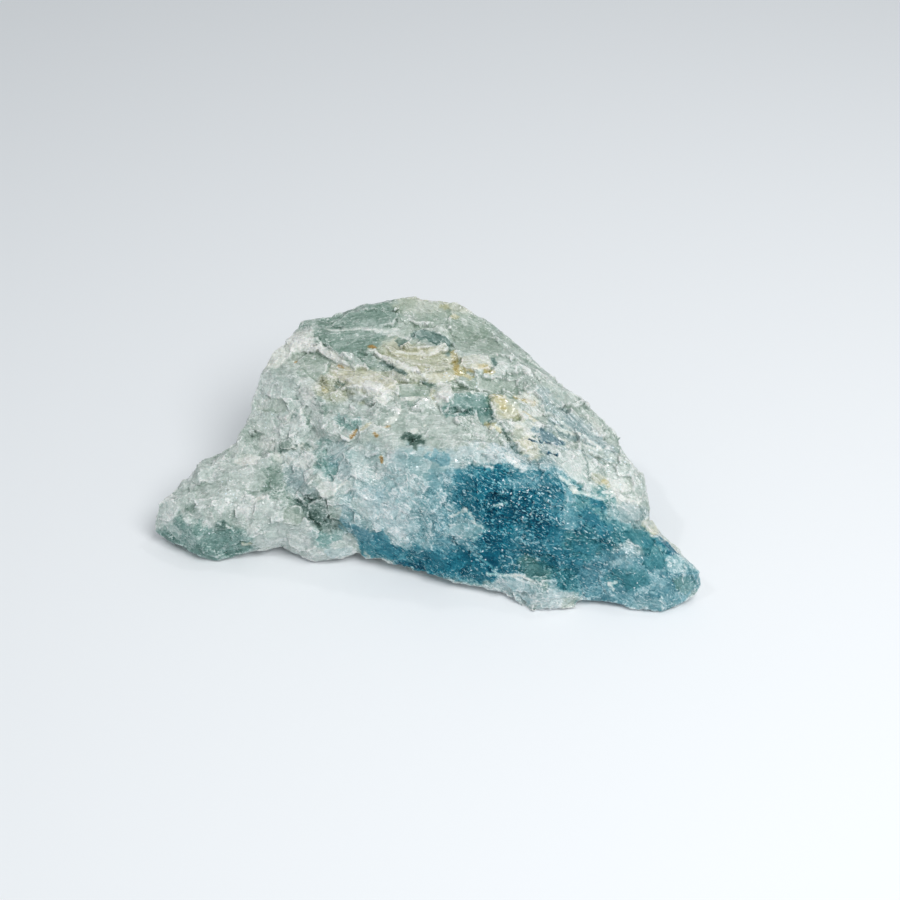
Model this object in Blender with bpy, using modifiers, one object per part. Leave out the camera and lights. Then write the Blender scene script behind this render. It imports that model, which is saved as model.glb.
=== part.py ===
"""A rough lump of aquamarine, one natural solid about 67 mm long, as it lies on a table.

The lump is a low wedge. Its crown stands at the back, a sloping upper face comes down from it in thin
broken ledges, and a steep blue face drops from there to the table. A blunt arm runs out to the left and
a pointed one to the right. +X is to the right, +Y to the back and +Z up, and the origin is under the
middle of the bounding box. All sizes here are millimetres, which MM turns into metres.
"""

import bmesh
import bpy
import numpy as np
from mathutils import Vector, noise

MM = 0.001
NAME = "rough_aquamarine"
SEED = 16

# ---- driving sizes ----------------------------------------------------------------------------
VOXEL = 0.36  # grain of the fused masses, before they are thinned
TRIANGLES = 9700  # triangles left on the finished lump
SWELL = -0.05  # how far the fused skin is let out or in before it is broken
ROLL = (11.0, 0.45)  # wavelength and height of the slow unevenness under the broken faces
GRAIN = (2.4, 0.14)  # size and height of the crystal grains that stand out on the left side
FLANK_RIDGE = (2.0, 0.3)  # spacing and height of the growth ridges on the right flank
LIP = 0.2  # how sharply a ledge breaks off
PLATE_LIMIT = 0.9  # the most that a broken plate moves the skin
TABLE_GAP = 0.18  # the least clearance of the underside outside the rest patches

# Each mass is the hull of its corners: (x, y, z).
MASSES = {
    "crown": [
        (-19.9, 10, 15.2), (-16.6, 13.8, 17.2), (-10.6, 14.2, 18.7), (-5.2, 15.8, 20), (0.3, 15.4, 20.7),
        (5, 13.8, 20.2), (9, 10.8, 18.8), (9.3, 6.4, 18.3), (1.7, 6.8, 19), (-6, 1.5, 17), (-12, 3, 15.5),
        (-24, 5, 1), (-21.5, 12, 1), (-14, 17.5, 1), (-4, 20, 1.4), (5, 19, 1), (12, 13.5, 1), (0, -4, 1),
        (-12, 18.4, 8), (0, 19.9, 9), (8, 17.2, 9), (-22, 9.6, 9),
    ],
    "upper_face": [
        (-12, 3, 15.6), (-6, 3, 17.4), (1.7, 6.8, 19), (9.3, 6.4, 18.4), (15.5, 4.3, 16), (21, -1, 13.6),
        (16.4, -4.5, 14.6), (15.5, -11.4, 13.2), (7.7, -11.4, 15), (1.8, -4, 16.8), (0.6, -11.4, 14),
        (-4.4, -10.8, 12.2), (-4.8, -6.8, 14.8), (-10, -8, 2), (20, -8, 2), (0, 12, 2),
    ],
    "left_face": [
        (-20, 10.8, 15.4), (-12, 3, 15.7), (-6, 1.4, 17), (-4.6, -6.6, 14.9), (-11.8, -4, 12.5),
        (-19.5, -1.2, 10.4), (-22.3, 6.2, 11.8), (-23.3, 2.8, 9.5), (-4.4, -11, 12), (-8.4, -12.2, 9),
        (-10.4, -11.6, 7.5), (-15.4, -10, 8), (-24.5, 4, 1), (-22, 9, 1), (-9, -11.6, 1), (-18, -9, 1), (0, 0, 1),
    ],
    "left_arm": [
        (-34.9, -8, 3.2), (-34.1, -7.1, 4.7), (-32.2, -5.9, 6.3), (-27, -1.6, 7.9), (-23, 2.4, 9.4),
        (-19.5, -1.2, 10.6), (-21.5, -7.4, 9), (-27.8, -9.4, 7.4), (-15.4, -10, 8), (-13.4, -11.7, 6.4),
        (-34.3, -7.5, 1), (-33.1, -9.1, 1), (-31, -10.2, 0.8), (-29, -12, 2.4), (-24, -11.8, 4.6), (-18, -11.6, 4),
        (-26.6, -12, 0.3), (-22.4, -11.3, 1.6), (-20.2, -11.2, 1.9), (-20, -7, 0.6), (-30.5, -3.5, 0.8),
        (-24, 3, 0.8), (-14, -10, 1.2),
    ],
    "foot": [
        (-17.6, -11.3, 1.2), (-16.2, -11.8, 0.4), (-14, -12.5, 0.2), (-10.9, -12.7, 0.3), (-9.6, -12.4, 0.6),
        (-8.9, -11.8, 1.2), (-9.4, -12.3, 3.6),
        (-13.4, -12, 6.6), (-17, -11.6, 5), (-10, -5, 1), (-18, -5, 1), (-14, -6, 10),
    ],
    "blue_face": [
        (0.6, -11.8, 13.8), (7.7, -11.7, 15.1), (15.5, -11.6, 13.2), (21.2, -10.4, 11.2), (26, -13.5, 7.6),
        (9, -18.3, 0.9), (21, -19.8, 0.6), (25.4, -20.9, 0.3), (27, -19.2, 4.6), (5.2, -17.6, 1), (1.6, -15.9, 1.4), (-3.6, -13.7, 1.5),
        (-8.4, -12.2, 1.4), (-8.4, -12.4, 8.6), (-4.4, -11.4, 12), (4.2, -14.9, 7.2), (8, -14.4, 0.2),
        (-4, -10.2, 0.3), (24, -6, 1), (0, 0, 1),
    ],
    "right_flank": [
        (5, 13.8, 20), (9, 10.8, 18.8), (15.2, 5.8, 16), (20.8, 0, 13.5), (24.6, -5, 11.7),
        (27, -9.2, 9.5), (26.9, -11.2, 6), (25.9, -13, 7.8), (15.5, -11.4, 13.2), (16.4, -3, 14.9), (9.3, 6.4, 18.6),
        (26.6, -5, 1), (20, 6, 1), (13, 13, 1), (10, 0, 1), (23.5, 0.5, 7), (12, 13.6, 10),
    ],
    "right_arm": [
        (25.6, -12.6, 7.8), (30.4, -16.1, 5.7), (32.7, -18.5, 3.4), (32.6, -19, 1), (27, -21.5, 0.1), (22.1, -16.5, 6.4),
        (23.4, -20, 0.8), (20.5, -14, 7.6), (27.8, -10.9, 5.6), (31.6, -15.8, 1), (28, -9.8, 1),
        (20, -10, 1), (28, -19.4, 5), (25.7, -20.6, 2.6),
    ],
    "nodule": [
        (12.2, -20.5, 0.2), (15, -21, 0), (17.6, -20.2, 0.2), (18.4, -19, 1.6), (15.8, -19.8, 4.3), (8.4, -17.9, 4.6),
        (10, -19.4, 2), (15, -17, 6), (16, -12, 1), (9, -12, 1),
    ],
}

# A ledge is the broken edge of a thin layer. Its line is (x, y), walked with the step down on the right.
# Each has its line, the height of the step, and how far the layer reaches back from the edge.
LEDGES = {
    "rear_slab": ([(-19, 9.2), (-16.4, 9.8), (-13.8, 9.2), (-12, 7.6), (-10, 5.4), (-8.4, 4.6)], 1.5, 6.0),
    "rear_rim": ([(-13, 13.2), (-9, 12), (-5.4, 12.6), (-2, 11.6), (2, 12.4)], 0.9, 4.0),
    "white_fin": ([(-7.4, 6.2), (-5, 4.6), (-3, 3), (-0.6, 2), (1.4, 2.2), (3.6, 3.2)], 1.5, 5.0),
    "cream_block": ([(-11.6, 3), (-9, 1.6), (-7.6, 0.4), (-6, -0.6), (-4.8, -0.4), (-3.2, 0.6)], 1.3, 4.0),
    "tooth": ([(-1, 0.6), (1, -0.4), (1.4, -2.2), (2.8, -3.4), (4, -2), (6, -1.4)], 1.1, 4.0),
    "ochre_block": ([(2.8, 2.4), (5.6, 1.6), (8, 2.4), (9.4, 4.4)], 1.0, 3.6),
    "low_slab": ([(-7.6, -1.6), (-4.6, -3), (-2, -2.8), (0.2, -3.2)], 0.8, 3.0),
    "ochre_patch": ([(8, -0.6), (7.4, -3), (7.6, -5), (9.4, -6.6), (11.4, -7.8), (14, -8)], 1.1, 5.0),
    "flank_step": ([(13, 2.6), (13.6, -0.6), (15.6, -3.4), (19, -5.2), (23, -5.6)], 1.0, 4.0),
    "blue_brow": ([(5, -10.2), (9, -10.4), (12, -11.4), (15, -11), (18, -12), (21, -12)], 0.9, 3.0),
    "left_rib": ([(-21.6, 7), (-17, 5), (-14, 1.6), (-12.6, -2.6), (-11.6, -7)], 0.8, 4.0),
    "arm_rib": ([(-31, -5.6), (-27, -5), (-23, -6), (-19, -7.6), (-15, -8.6)], 0.6, 3.0),
    "back_bench": ([(13, 16), (5, 18.6), (-3, 19.4), (-11, 17.6), (-18, 14)], 1.0, 3.0),
}

# Grooves and pits: each has its line or place, its half width and its depth.
CREASES = {
    "foot_crease": ([(-14.2, -11.2, 7), (-11.6, -12.2, 5.4), (-9.4, -12.2, 3.4), (-8.2, -12.6, 1)], 1.1, 0.8),
    "arm_notch": ([(25.2, -11, 7.8), (26.2, -13.4, 7.6), (25.2, -16.4, 6.2)], 0.9, 0.7),
    "nodule_seam": ([(8, -17.6, 5), (12, -18.2, 5.4), (16, -18.4, 5), (18.6, -19.2, 3), (19, -20.4, 0.6)], 0.9, 1.0),
    "brow_seam": ([(-6, -10.4, 12), (-1, -11, 13.4), (4, -11, 14.4)], 1.0, 0.4),
    "back_cleft": ([(10, 15.4, 16), (11.6, 15.2, 9), (11, 15.6, 1)], 1.4, 1.0),
    "tail_arch": ([(-20.6, -13.2, 0), (-18.6, -13, 0.2), (-17, -12.8, 0)], 2.0, 1.4),
}
PITS = {
    "dark_pit": ((-1.7, -7.2, 14.8), 1.3, 0.9),
    "shoulder_pit": ((-11.9, -4.2, 12.4), 1.8, 0.9),
    "grey_hollow": ((-14.6, -2, 12.4), 2.2, 0.7),
    "crown_hollow": ((3.4, 8.6, 19.4), 2.6, 0.8),
    "arm_pit": ((-24, -10.4, 6.4), 1.6, 0.6),
    "back_scoop": ((-8, 19, 9), 5.0, 1.3),
    "back_scoop_right": ((17.6, 9.2, 7), 4.0, 1.1),
    "back_scoop_left": ((-23, 5, 5), 3.4, 0.9),
}

# The skin is broken into flat plates. Each zone of it has a middle, the way its plates run, their length
# and width, how far a plate leans, up at its front edge, how much their leans scatter, and their steps.
ZONES = {
    "crown": ((-6, 10, 19.5), (1, 0.1, 0), 8.0, 5.0, 0.05, 0.07, 0.2),
    "crown_left": ((-18, 8, 14.5), (1, -0.5, 0), 6.0, 4.0, 0.1, 0.1, 0.18),
    "crown_right": ((6, 9, 19), (1, -0.6, -0.2), 7.0, 3.6, 0.1, 0.12, 0.25),
    "ledges_left": ((-9, 2, 16), (1, -0.5, 0), 4.6, 2.4, 0.24, 0.16, 0.3),
    "ledges_right": ((1, 1.5, 17), (1, -0.1, 0), 5.2, 2.2, 0.26, 0.14, 0.3),
    "smooth_face": ((0, -7, 15), (1, -0.1, 0), 9.0, 6.0, 0.0, 0.04, 0.06),
    "ochre_broken": ((9, -4, 16), (1, -0.7, 0), 3.4, 2.2, 0.2, 0.2, 0.35),
    "flank": ((19, -2, 12), (0.66, -0.72, -0.25), 9.0, 2.6, 0.1, 0.12, 0.25),
    "flank_low": ((20, 6, 6), (0.66, -0.72, -0.1), 8.0, 4.0, 0.0, 0.16, 0.3),
    "white_brow": ((20, -9, 11), (0.8, -0.6, -0.2), 4.4, 2.4, 0.15, 0.18, 0.3),
    "blue_heart": ((10, -14, 9), (1, -0.3, -0.4), 6.0, 4.0, 0.0, 0.1, 0.1),
    "blue_left": ((-3, -13, 8), (1, -0.2, -0.5), 4.4, 3.2, 0.0, 0.13, 0.16),
    "blue_right": ((21, -15, 6), (0.9, -0.3, -0.3), 7.0, 3.6, 0.0, 0.12, 0.16),
    "right_arm": ((28, -17, 5), (0.7, -0.7, -0.2), 7.0, 3.2, 0.05, 0.12, 0.16),
    "left_face": ((-13, -6, 11), (1, -0.3, -0.3), 4.2, 3.0, 0.1, 0.18, 0.26),
    "left_shoulder": ((-19, 2, 11), (0.5, -0.8, 0), 5.0, 3.4, 0.08, 0.15, 0.22),
    "left_arm": ((-26, -7, 6), (1, 0.4, 0), 5.0, 3.6, 0.0, 0.13, 0.16),
    "foot": ((-13, -12, 2), (1, 0, 0), 5.0, 3.6, 0.0, 0.12, 0.16),
    "back": ((0, 20, 9), (1, 0, 0.2), 9.0, 5.0, 0.0, 0.2, 0.45),
    "back_left": ((-20, 12, 8), (0.7, 0.7, 0.2), 8.0, 4.6, 0.0, 0.2, 0.4),
    "back_right": ((13, 14, 9), (0.8, -0.6, 0.1), 9.0, 4.6, 0.0, 0.2, 0.4),
    "underside": ((0, 0, -1), (1, 0, 0), 9.0, 9.0, 0.0, 0.06, 0.15),
}
PLATE_TURN = 5.0  # how much a turn of the skin counts against nearness, so that no plate wraps an edge

# Where the lump touches the table: (x, y, radius).
REST_PATCHES = {
    "under_back": (-3, 13, 4.6),
    "under_left_arm": (-26, -8, 3.6),
    "under_nodule": (13.5, -17, 3.6),
    "under_right_arm": (27.5, -17.5, 3.2),
}

STONE_COLOUR = (0.42, 0.56, 0.53, 1.0)
STONE_ROUGHNESS = 0.32


def hull(mesh, corners):
    """Adds the convex hull of the corners to the mesh, as a closed shell of its own."""
    loose = [mesh.verts.new(Vector(corner) * MM) for corner in corners]
    made = bmesh.ops.convex_hull(mesh, input=loose)
    spare = {part for part in made["geom_unused"] + made["geom_interior"] if isinstance(part, bmesh.types.BMVert)}
    bmesh.ops.delete(mesh, geom=list(spare), context="VERTS")


def applied(source, name):
    """A mesh object that holds the source with its modifiers applied. The source is removed."""
    graph = bpy.context.evaluated_depsgraph_get()
    mesh = bpy.data.meshes.new_from_object(source.evaluated_get(graph))
    bpy.data.objects.remove(source)
    made = bpy.data.objects.new(name, mesh)
    stone.objects.link(made)
    return made


def fused(source):
    """One closed skin of even grain around the source, with nothing crossing inside it."""
    remesh = source.modifiers.new("fuse", "REMESH")
    remesh.mode = "VOXEL"
    remesh.voxel_size = VOXEL * MM
    return applied(source, "skin")


def fused_masses():
    mesh = bmesh.new()
    for corners in MASSES.values():
        hull(mesh, corners)
    data = bpy.data.meshes.new("masses")
    mesh.to_mesh(data)
    mesh.free()
    masses = bpy.data.objects.new("masses", data)
    stone.objects.link(masses)
    return fused(masses)


def read_skin(mesh):
    """The points and outward normals of the skin, in millimetres."""
    points = np.empty(len(mesh.vertices) * 3)
    normals = np.empty(len(mesh.vertices) * 3)
    mesh.vertices.foreach_get("co", points)
    mesh.vertices.foreach_get("normal", normals)
    return points.reshape(-1, 3) / MM, normals.reshape(-1, 3)


def write_skin(mesh, points):
    mesh.vertices.foreach_set("co", (points * MM).ravel())
    mesh.update()


def eased(value, low, high):
    """0 at or under low, 1 at or over high, and a smooth rise between."""
    share = np.clip((value - low) / (high - low), 0, 1)
    return share * share * (3 - 2 * share)


def waves(points, size, stretch=(1, 1, 1), shift=0.0):
    """Smooth noise from about -1 to 1, with features of the given size."""
    scaled = points / (size * np.array(stretch, float)) + shift
    return np.array([noise.fractal(Vector(place), 1.0, 2.0, 2) for place in scaled])


def along_line(points, line):
    """For each point, its distance from the line, its side (1 on the left in plan) and its share of the way."""
    corners = np.array(line, float)
    flat = points[:, : corners.shape[1]]
    lengths = np.linalg.norm(np.diff(corners, axis=0), axis=1)
    nearest = np.full(len(points), np.inf)
    side = np.ones(len(points))
    share = np.zeros(len(points))
    walked = 0.0
    for start, end, length in zip(corners[:-1], corners[1:], lengths):
        way = (end - start) / length
        offset = flat - start
        went = np.clip(offset @ way, 0, length)
        distance = np.linalg.norm(offset - went[:, None] * way, axis=1)
        closer = distance < nearest
        nearest[closer] = distance[closer]
        side[closer] = np.sign(way[0] * offset[closer, 1] - way[1] * offset[closer, 0])
        share[closer] = (walked + went[closer]) / lengths.sum()
        walked += length
    return nearest, side, share


def ledge(points, normals, line, step, reach):
    """Lifts the skin behind the line and lowers it in front, so that a thin layer ends there."""
    distance, side, share = along_line(points, line)
    signed = distance * side + 0.45 * waves(points, 2.2)
    up = step * 0.6 * np.clip(1 - signed / reach, 0, 1)
    down = -step * 0.4 * np.clip(1 + signed / (0.7 * reach), 0, 1)
    height = down + (up - down) * eased(signed, -LIP, LIP)
    ends = eased(share, 0, 0.2) * eased(1 - share, 0, 0.2)
    lit = eased(normals[:, 2], 0.05, 0.4)
    lift = np.array([0, -0.25, 1]) if line[-1][0] > line[0][0] else np.array([0, 0.6, 0.6])
    return points + (height * ends * lit)[:, None] * lift


def crease(points, normals, line, half_width, depth):
    distance, _, share = along_line(points, line)
    groove = np.clip(1 - distance / half_width, 0, 1) * eased(share, -0.2, 0.15) * eased(1 - share, -0.2, 0.15)
    return points - (depth * groove)[:, None] * normals


def pit(points, normals, place, radius, depth):
    distance = np.linalg.norm(points - np.array(place), axis=1) + 0.35 * radius * waves(points, radius)
    return points - (depth * (1 - eased(distance, 0.2 * radius, radius)))[:, None] * normals


def nearest_of(points, normals, places, facings, frames):
    """For each point, which of the places is nearest, each place measuring with its own frame."""
    best = np.full(len(points), np.inf)
    owner = np.zeros(len(points), int)
    for number, (place, facing, frame) in enumerate(zip(places, facings, frames)):
        gap = ((points - place) @ frame.T) ** 2
        gap = gap.sum(axis=1) + PLATE_TURN * (1 - normals @ facing)
        closer = gap < best
        best[closer] = gap[closer]
        owner[closer] = number
    return owner


def plate_frame(way, length, width):
    """Rows that measure along and across a plate, in plates."""
    along = np.array(way, float) / np.linalg.norm(way)
    across = np.eye(3) - np.outer(along, along)
    return np.vstack([along / length, across / width])


def broken_plates(points, normals, seeds):
    """Lays the skin flat within each plate, so that the plates meet in edges and small steps."""
    middles = np.array([zone[0] for zone in ZONES.values()], float)
    zone_of = np.linalg.norm(points[:, None] - middles, axis=2).argmin(axis=1)
    zones = list(ZONES.values())
    frames = [plate_frame(*zone[1:4]) for zone in zones]
    chosen = []
    for place in seeds.permutation(len(points)):
        frame = frames[zone_of[place]]
        taken = points[chosen] - points[place]
        if not chosen or ((taken @ frame.T) ** 2).sum(axis=1).min() > 0.6:
            chosen.append(place)
    owner = nearest_of(points, normals, points[chosen], normals[chosen], [frames[zone_of[p]] for p in chosen])
    made = points.copy()
    hold = 0.25 + 0.75 * eased(points[:, 2], 0.6, 2.6)
    for number, place in enumerate(chosen):
        own = np.flatnonzero(owner == number)
        if len(own) < 4:
            continue
        _, way, _, _, lean, scatter, step = zones[zone_of[place]]
        facing = normals[own].mean(axis=0)
        front = np.cross(facing, way)
        front *= -np.sign(front[1]) / np.linalg.norm(front)
        facing = facing - lean * front + seeds.normal(0, scatter, 3)
        facing /= np.linalg.norm(facing)
        proud = (points[own] - points[own].mean(axis=0)) @ facing - step * seeds.uniform(-1, 1)
        agreed = hold[own] * eased(normals[own] @ facing, 0.35, 0.8)
        made[own] -= (agreed * np.clip(proud, -PLATE_LIMIT, PLATE_LIMIT))[:, None] * facing
    return made


def grain(points, normals):
    """Rounded crystal grains on the left side and the arm, each one a cell of its own."""
    size, height = GRAIN
    cells = [noise.voronoi(Vector(place / size))[0] for place in points]
    edge = np.array([cell[1] - cell[0] for cell in cells])
    left = 1 - eased(points[:, 0] + 2 * waves(points, 6), -12, -5)
    swell = height * (eased(edge, 0, 0.45) - 0.6) * left
    return points + swell[:, None] * normals


def flank_ridges(points, normals):
    """Growth ridges that run along the right flank, from the crown down to the right arm."""
    spacing, height = FLANK_RIDGE
    down_flank = np.array([0.62, -0.72, -0.31])
    across = np.array([0.76, 0.65, 0.0])
    steady = points @ across / spacing + 0.05 * points @ down_flank
    ridges = np.array([noise.noise(Vector((place, 0.06 * run, 3.1))) for place, run in zip(steady, points @ down_flank)])
    on_flank = eased(points @ across, 6.5, 10) * eased(points[:, 2], 3, 7) * eased(points[:, 0], 4, 9)
    return points + (2 * height * ridges * on_flank)[:, None] * normals


def settle(mesh):
    """Lays the rest patches flat at z = 0 and keeps the rest of the underside clear of the table."""
    points, _ = read_skin(mesh)
    clear = np.ones(len(points))
    for x, y, radius in REST_PATCHES.values():
        clear *= eased(np.linalg.norm(points[:, :2] - (x, y), axis=1), 0.75 * radius, 1.5 * radius)
    low = 1 - eased(points[:, 2], 1.5, 2.5)
    points[:, 2] *= 1 - low * (1 - clear)
    points[:, 2] = np.maximum(points[:, 2], TABLE_GAP * eased(clear, 0, 0.3))
    write_skin(mesh, points)


def sculpt(mesh):
    """Works the fused skin into broken, ledged and grainy stone."""
    seeds = np.random.default_rng(SEED)
    points, normals = read_skin(mesh)
    points += (SWELL + ROLL[1] * waves(points, ROLL[0]))[:, None] * normals
    write_skin(mesh, points)
    points, normals = read_skin(mesh)
    write_skin(mesh, broken_plates(points, normals, seeds))
    points, normals = read_skin(mesh)
    for line, step, reach in LEDGES.values():
        points = ledge(points, normals, line, step, reach)
    for sizes in CREASES.values():
        points = crease(points, normals, *sizes)
    for sizes in PITS.values():
        points = pit(points, normals, *sizes)
    write_skin(mesh, flank_ridges(grain(points, normals), normals))


def thinned(skin):
    """The skin with its triangles thinned, most where it is flattest."""
    skin.data.calc_loop_triangles()
    thin = skin.modifiers.new("thin", "DECIMATE")
    thin.ratio = TRIANGLES / len(skin.data.loop_triangles)
    thin.use_collapse_triangulate = True
    return applied(skin, NAME)


def placed(mesh):
    """Trues up the rest patches after the thinning, and puts the origin under the middle of the lump."""
    points, _ = read_skin(mesh)
    points[:, 2] = np.where(points[:, 2] < TABLE_GAP / 2, 0.0, points[:, 2])
    middle = (points.min(axis=0) + points.max(axis=0)) / 2
    write_skin(mesh, points - (middle[0], middle[1], 0.0))


def stone_material():
    material = bpy.data.materials.new("aquamarine")
    material.use_nodes = True
    surface = material.node_tree.nodes["Principled BSDF"]
    surface.inputs["Base Color"].default_value = STONE_COLOUR
    surface.inputs["Roughness"].default_value = STONE_ROUGHNESS
    surface.inputs["Metallic"].default_value = 0.0
    return material


for old in list(bpy.data.objects):
    bpy.data.objects.remove(old)
stone = bpy.data.collections.new("aquamarine")
bpy.context.scene.collection.children.link(stone)
skin = fused_masses()
sculpt(skin.data)
skin = fused(skin)
settle(skin.data)
lump = thinned(skin)
placed(lump.data)
lump.data.materials.append(stone_material())
lump.data.shade_flat()
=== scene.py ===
# %% [markdown]
# # A rough aquamarine, from solid to stone
#
# Aquamarine is beryl with a trace of iron in it, and the iron makes it blue. Clean aquamarine is clear.
# This lump is the common kind: cloudy, grown through with veils, cracks and grains, and broken out of its
# rock, so that its outside is all plates, ledges and chips. We start from a solid of its true size, cut
# the fine breaks into it, paint where the stone is blue, white or stained, and light it softly.

# %% The fixed frame
import math

import bmesh
import bpy
import numpy as np
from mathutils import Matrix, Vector, kdtree, noise


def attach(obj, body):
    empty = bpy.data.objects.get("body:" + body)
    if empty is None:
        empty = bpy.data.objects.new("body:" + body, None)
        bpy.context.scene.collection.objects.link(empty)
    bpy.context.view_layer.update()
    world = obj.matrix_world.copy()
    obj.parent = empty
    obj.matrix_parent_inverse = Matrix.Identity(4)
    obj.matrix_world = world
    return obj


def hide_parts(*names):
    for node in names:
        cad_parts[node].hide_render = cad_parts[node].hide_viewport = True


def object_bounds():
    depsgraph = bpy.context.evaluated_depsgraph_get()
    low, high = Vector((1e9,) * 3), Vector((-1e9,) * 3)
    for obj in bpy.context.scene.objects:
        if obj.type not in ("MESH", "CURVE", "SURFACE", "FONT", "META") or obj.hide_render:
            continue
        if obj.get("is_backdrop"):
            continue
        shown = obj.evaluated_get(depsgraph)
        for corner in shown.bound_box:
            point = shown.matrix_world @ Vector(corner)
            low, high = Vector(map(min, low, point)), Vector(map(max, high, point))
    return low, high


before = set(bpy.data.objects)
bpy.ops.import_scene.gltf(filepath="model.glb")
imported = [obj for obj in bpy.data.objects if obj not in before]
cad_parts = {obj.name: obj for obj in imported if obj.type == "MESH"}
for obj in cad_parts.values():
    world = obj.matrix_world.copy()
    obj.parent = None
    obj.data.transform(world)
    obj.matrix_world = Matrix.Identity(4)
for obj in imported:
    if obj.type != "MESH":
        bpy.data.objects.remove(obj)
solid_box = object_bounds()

MM = 0.001
SEED = 5
SOLID = "rough_aquamarine"
seeds = np.random.default_rng(SEED)
size = np.array(solid_box[1]) - np.array(solid_box[0])
print("the solid measures, in mm:", (size / MM).round(1))

# %% [markdown]
# ## A finer skin
#
# The solid has triangles about a millimetre wide, which is too coarse for the flakes and grains that catch
# the light. A voxel remesh gives the same form an even skin with a point every fifth of a millimetre. A
# subdivision would do it too, but it would keep the long thin triangles and follow their creases.

# %% Remesh a copy of the solid
SKIN_GRAIN = 0.2  # mm between neighbouring points


def applied(source, name):
    """A new object that holds the source with its modifiers applied. The source is removed."""
    graph = bpy.context.evaluated_depsgraph_get()
    mesh = bpy.data.meshes.new_from_object(source.evaluated_get(graph))
    bpy.data.objects.remove(source)
    made = bpy.data.objects.new(name, mesh)
    bpy.context.scene.collection.objects.link(made)
    return made


def welded_copy(node, name):
    mesh = bmesh.new()
    mesh.from_mesh(node.data)
    bmesh.ops.remove_doubles(mesh, verts=mesh.verts, dist=0.001 * MM)
    data = bpy.data.meshes.new(name)
    mesh.to_mesh(data)
    mesh.free()
    made = bpy.data.objects.new(name, data)
    bpy.context.scene.collection.objects.link(made)
    return made


coarse = welded_copy(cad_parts[SOLID], "coarse_stone")
remesh = coarse.modifiers.new("even skin", "REMESH")
remesh.mode = "VOXEL"
remesh.voxel_size = SKIN_GRAIN * MM
stone = applied(coarse, "aquamarine_stone")
print("the fine skin has", len(stone.data.vertices), "points")

# %% Read, write and measure the skin, in millimetres
def read_skin(mesh):
    """The points and the outward normals of the skin."""
    points = np.empty(len(mesh.vertices) * 3, np.float32)
    normals = np.empty(len(mesh.vertices) * 3, np.float32)
    mesh.vertices.foreach_get("co", points)
    mesh.vertices.foreach_get("normal", normals)
    return points.reshape(-1, 3).astype(float) / MM, normals.reshape(-1, 3).astype(float)


def write_skin(mesh, points):
    mesh.vertices.foreach_set("co", (points * MM).ravel())
    mesh.update()


def eased(value, low, high):
    """0 at or under low, 1 at or over high, and a smooth rise between."""
    share = np.clip((value - low) / (high - low), 0, 1)
    return share * share * (3 - 2 * share)


def waves(points, wavelength, octaves=2, shift=0.0):
    """Smooth noise from about -1 to 1, with features of the given wavelength."""
    places = points / wavelength + shift
    return np.array([noise.fractal(Vector(place), 1.0, 2.0, octaves) for place in places])


def relaxed(points, edges, rounds):
    """The points after each has moved, so many times, half way to the middle of its neighbours."""
    ends, others = edges.ravel(), edges[:, ::-1].ravel()
    count = np.bincount(ends, minlength=len(points))
    for _ in range(rounds):
        middles = [np.bincount(ends, points[others, axis], len(points)) / count for axis in range(3)]
        points = (points + np.column_stack(middles)) / 2
    return points


def read_edges(mesh):
    edges = np.empty(len(mesh.edges) * 2, np.int32)
    mesh.edges.foreach_get("vertices", edges)
    return edges.reshape(-1, 2)


edges = read_edges(stone.data)
points, normals = read_skin(stone.data)
points = relaxed(points, edges, 3)
write_skin(stone.data, points)
print("edges that the relaxing works along:", len(edges))

# %% [markdown]
# ## Broken plates
#
# Beryl has no good cleavage, so it breaks into small curved plates that overlap a little like shingles. To
# copy that, seeds are strewn over the skin, each point goes to its nearest seed, and the points of one
# seed are laid in one plane that leans a little. Where two planes disagree there is an edge or a step.
# Each zone of the stone breaks in its own way: long splinters on the right flank, thin ledges across the
# middle, small grains on the left. The zones are listed by their middles, and the nearest middle wins.

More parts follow.
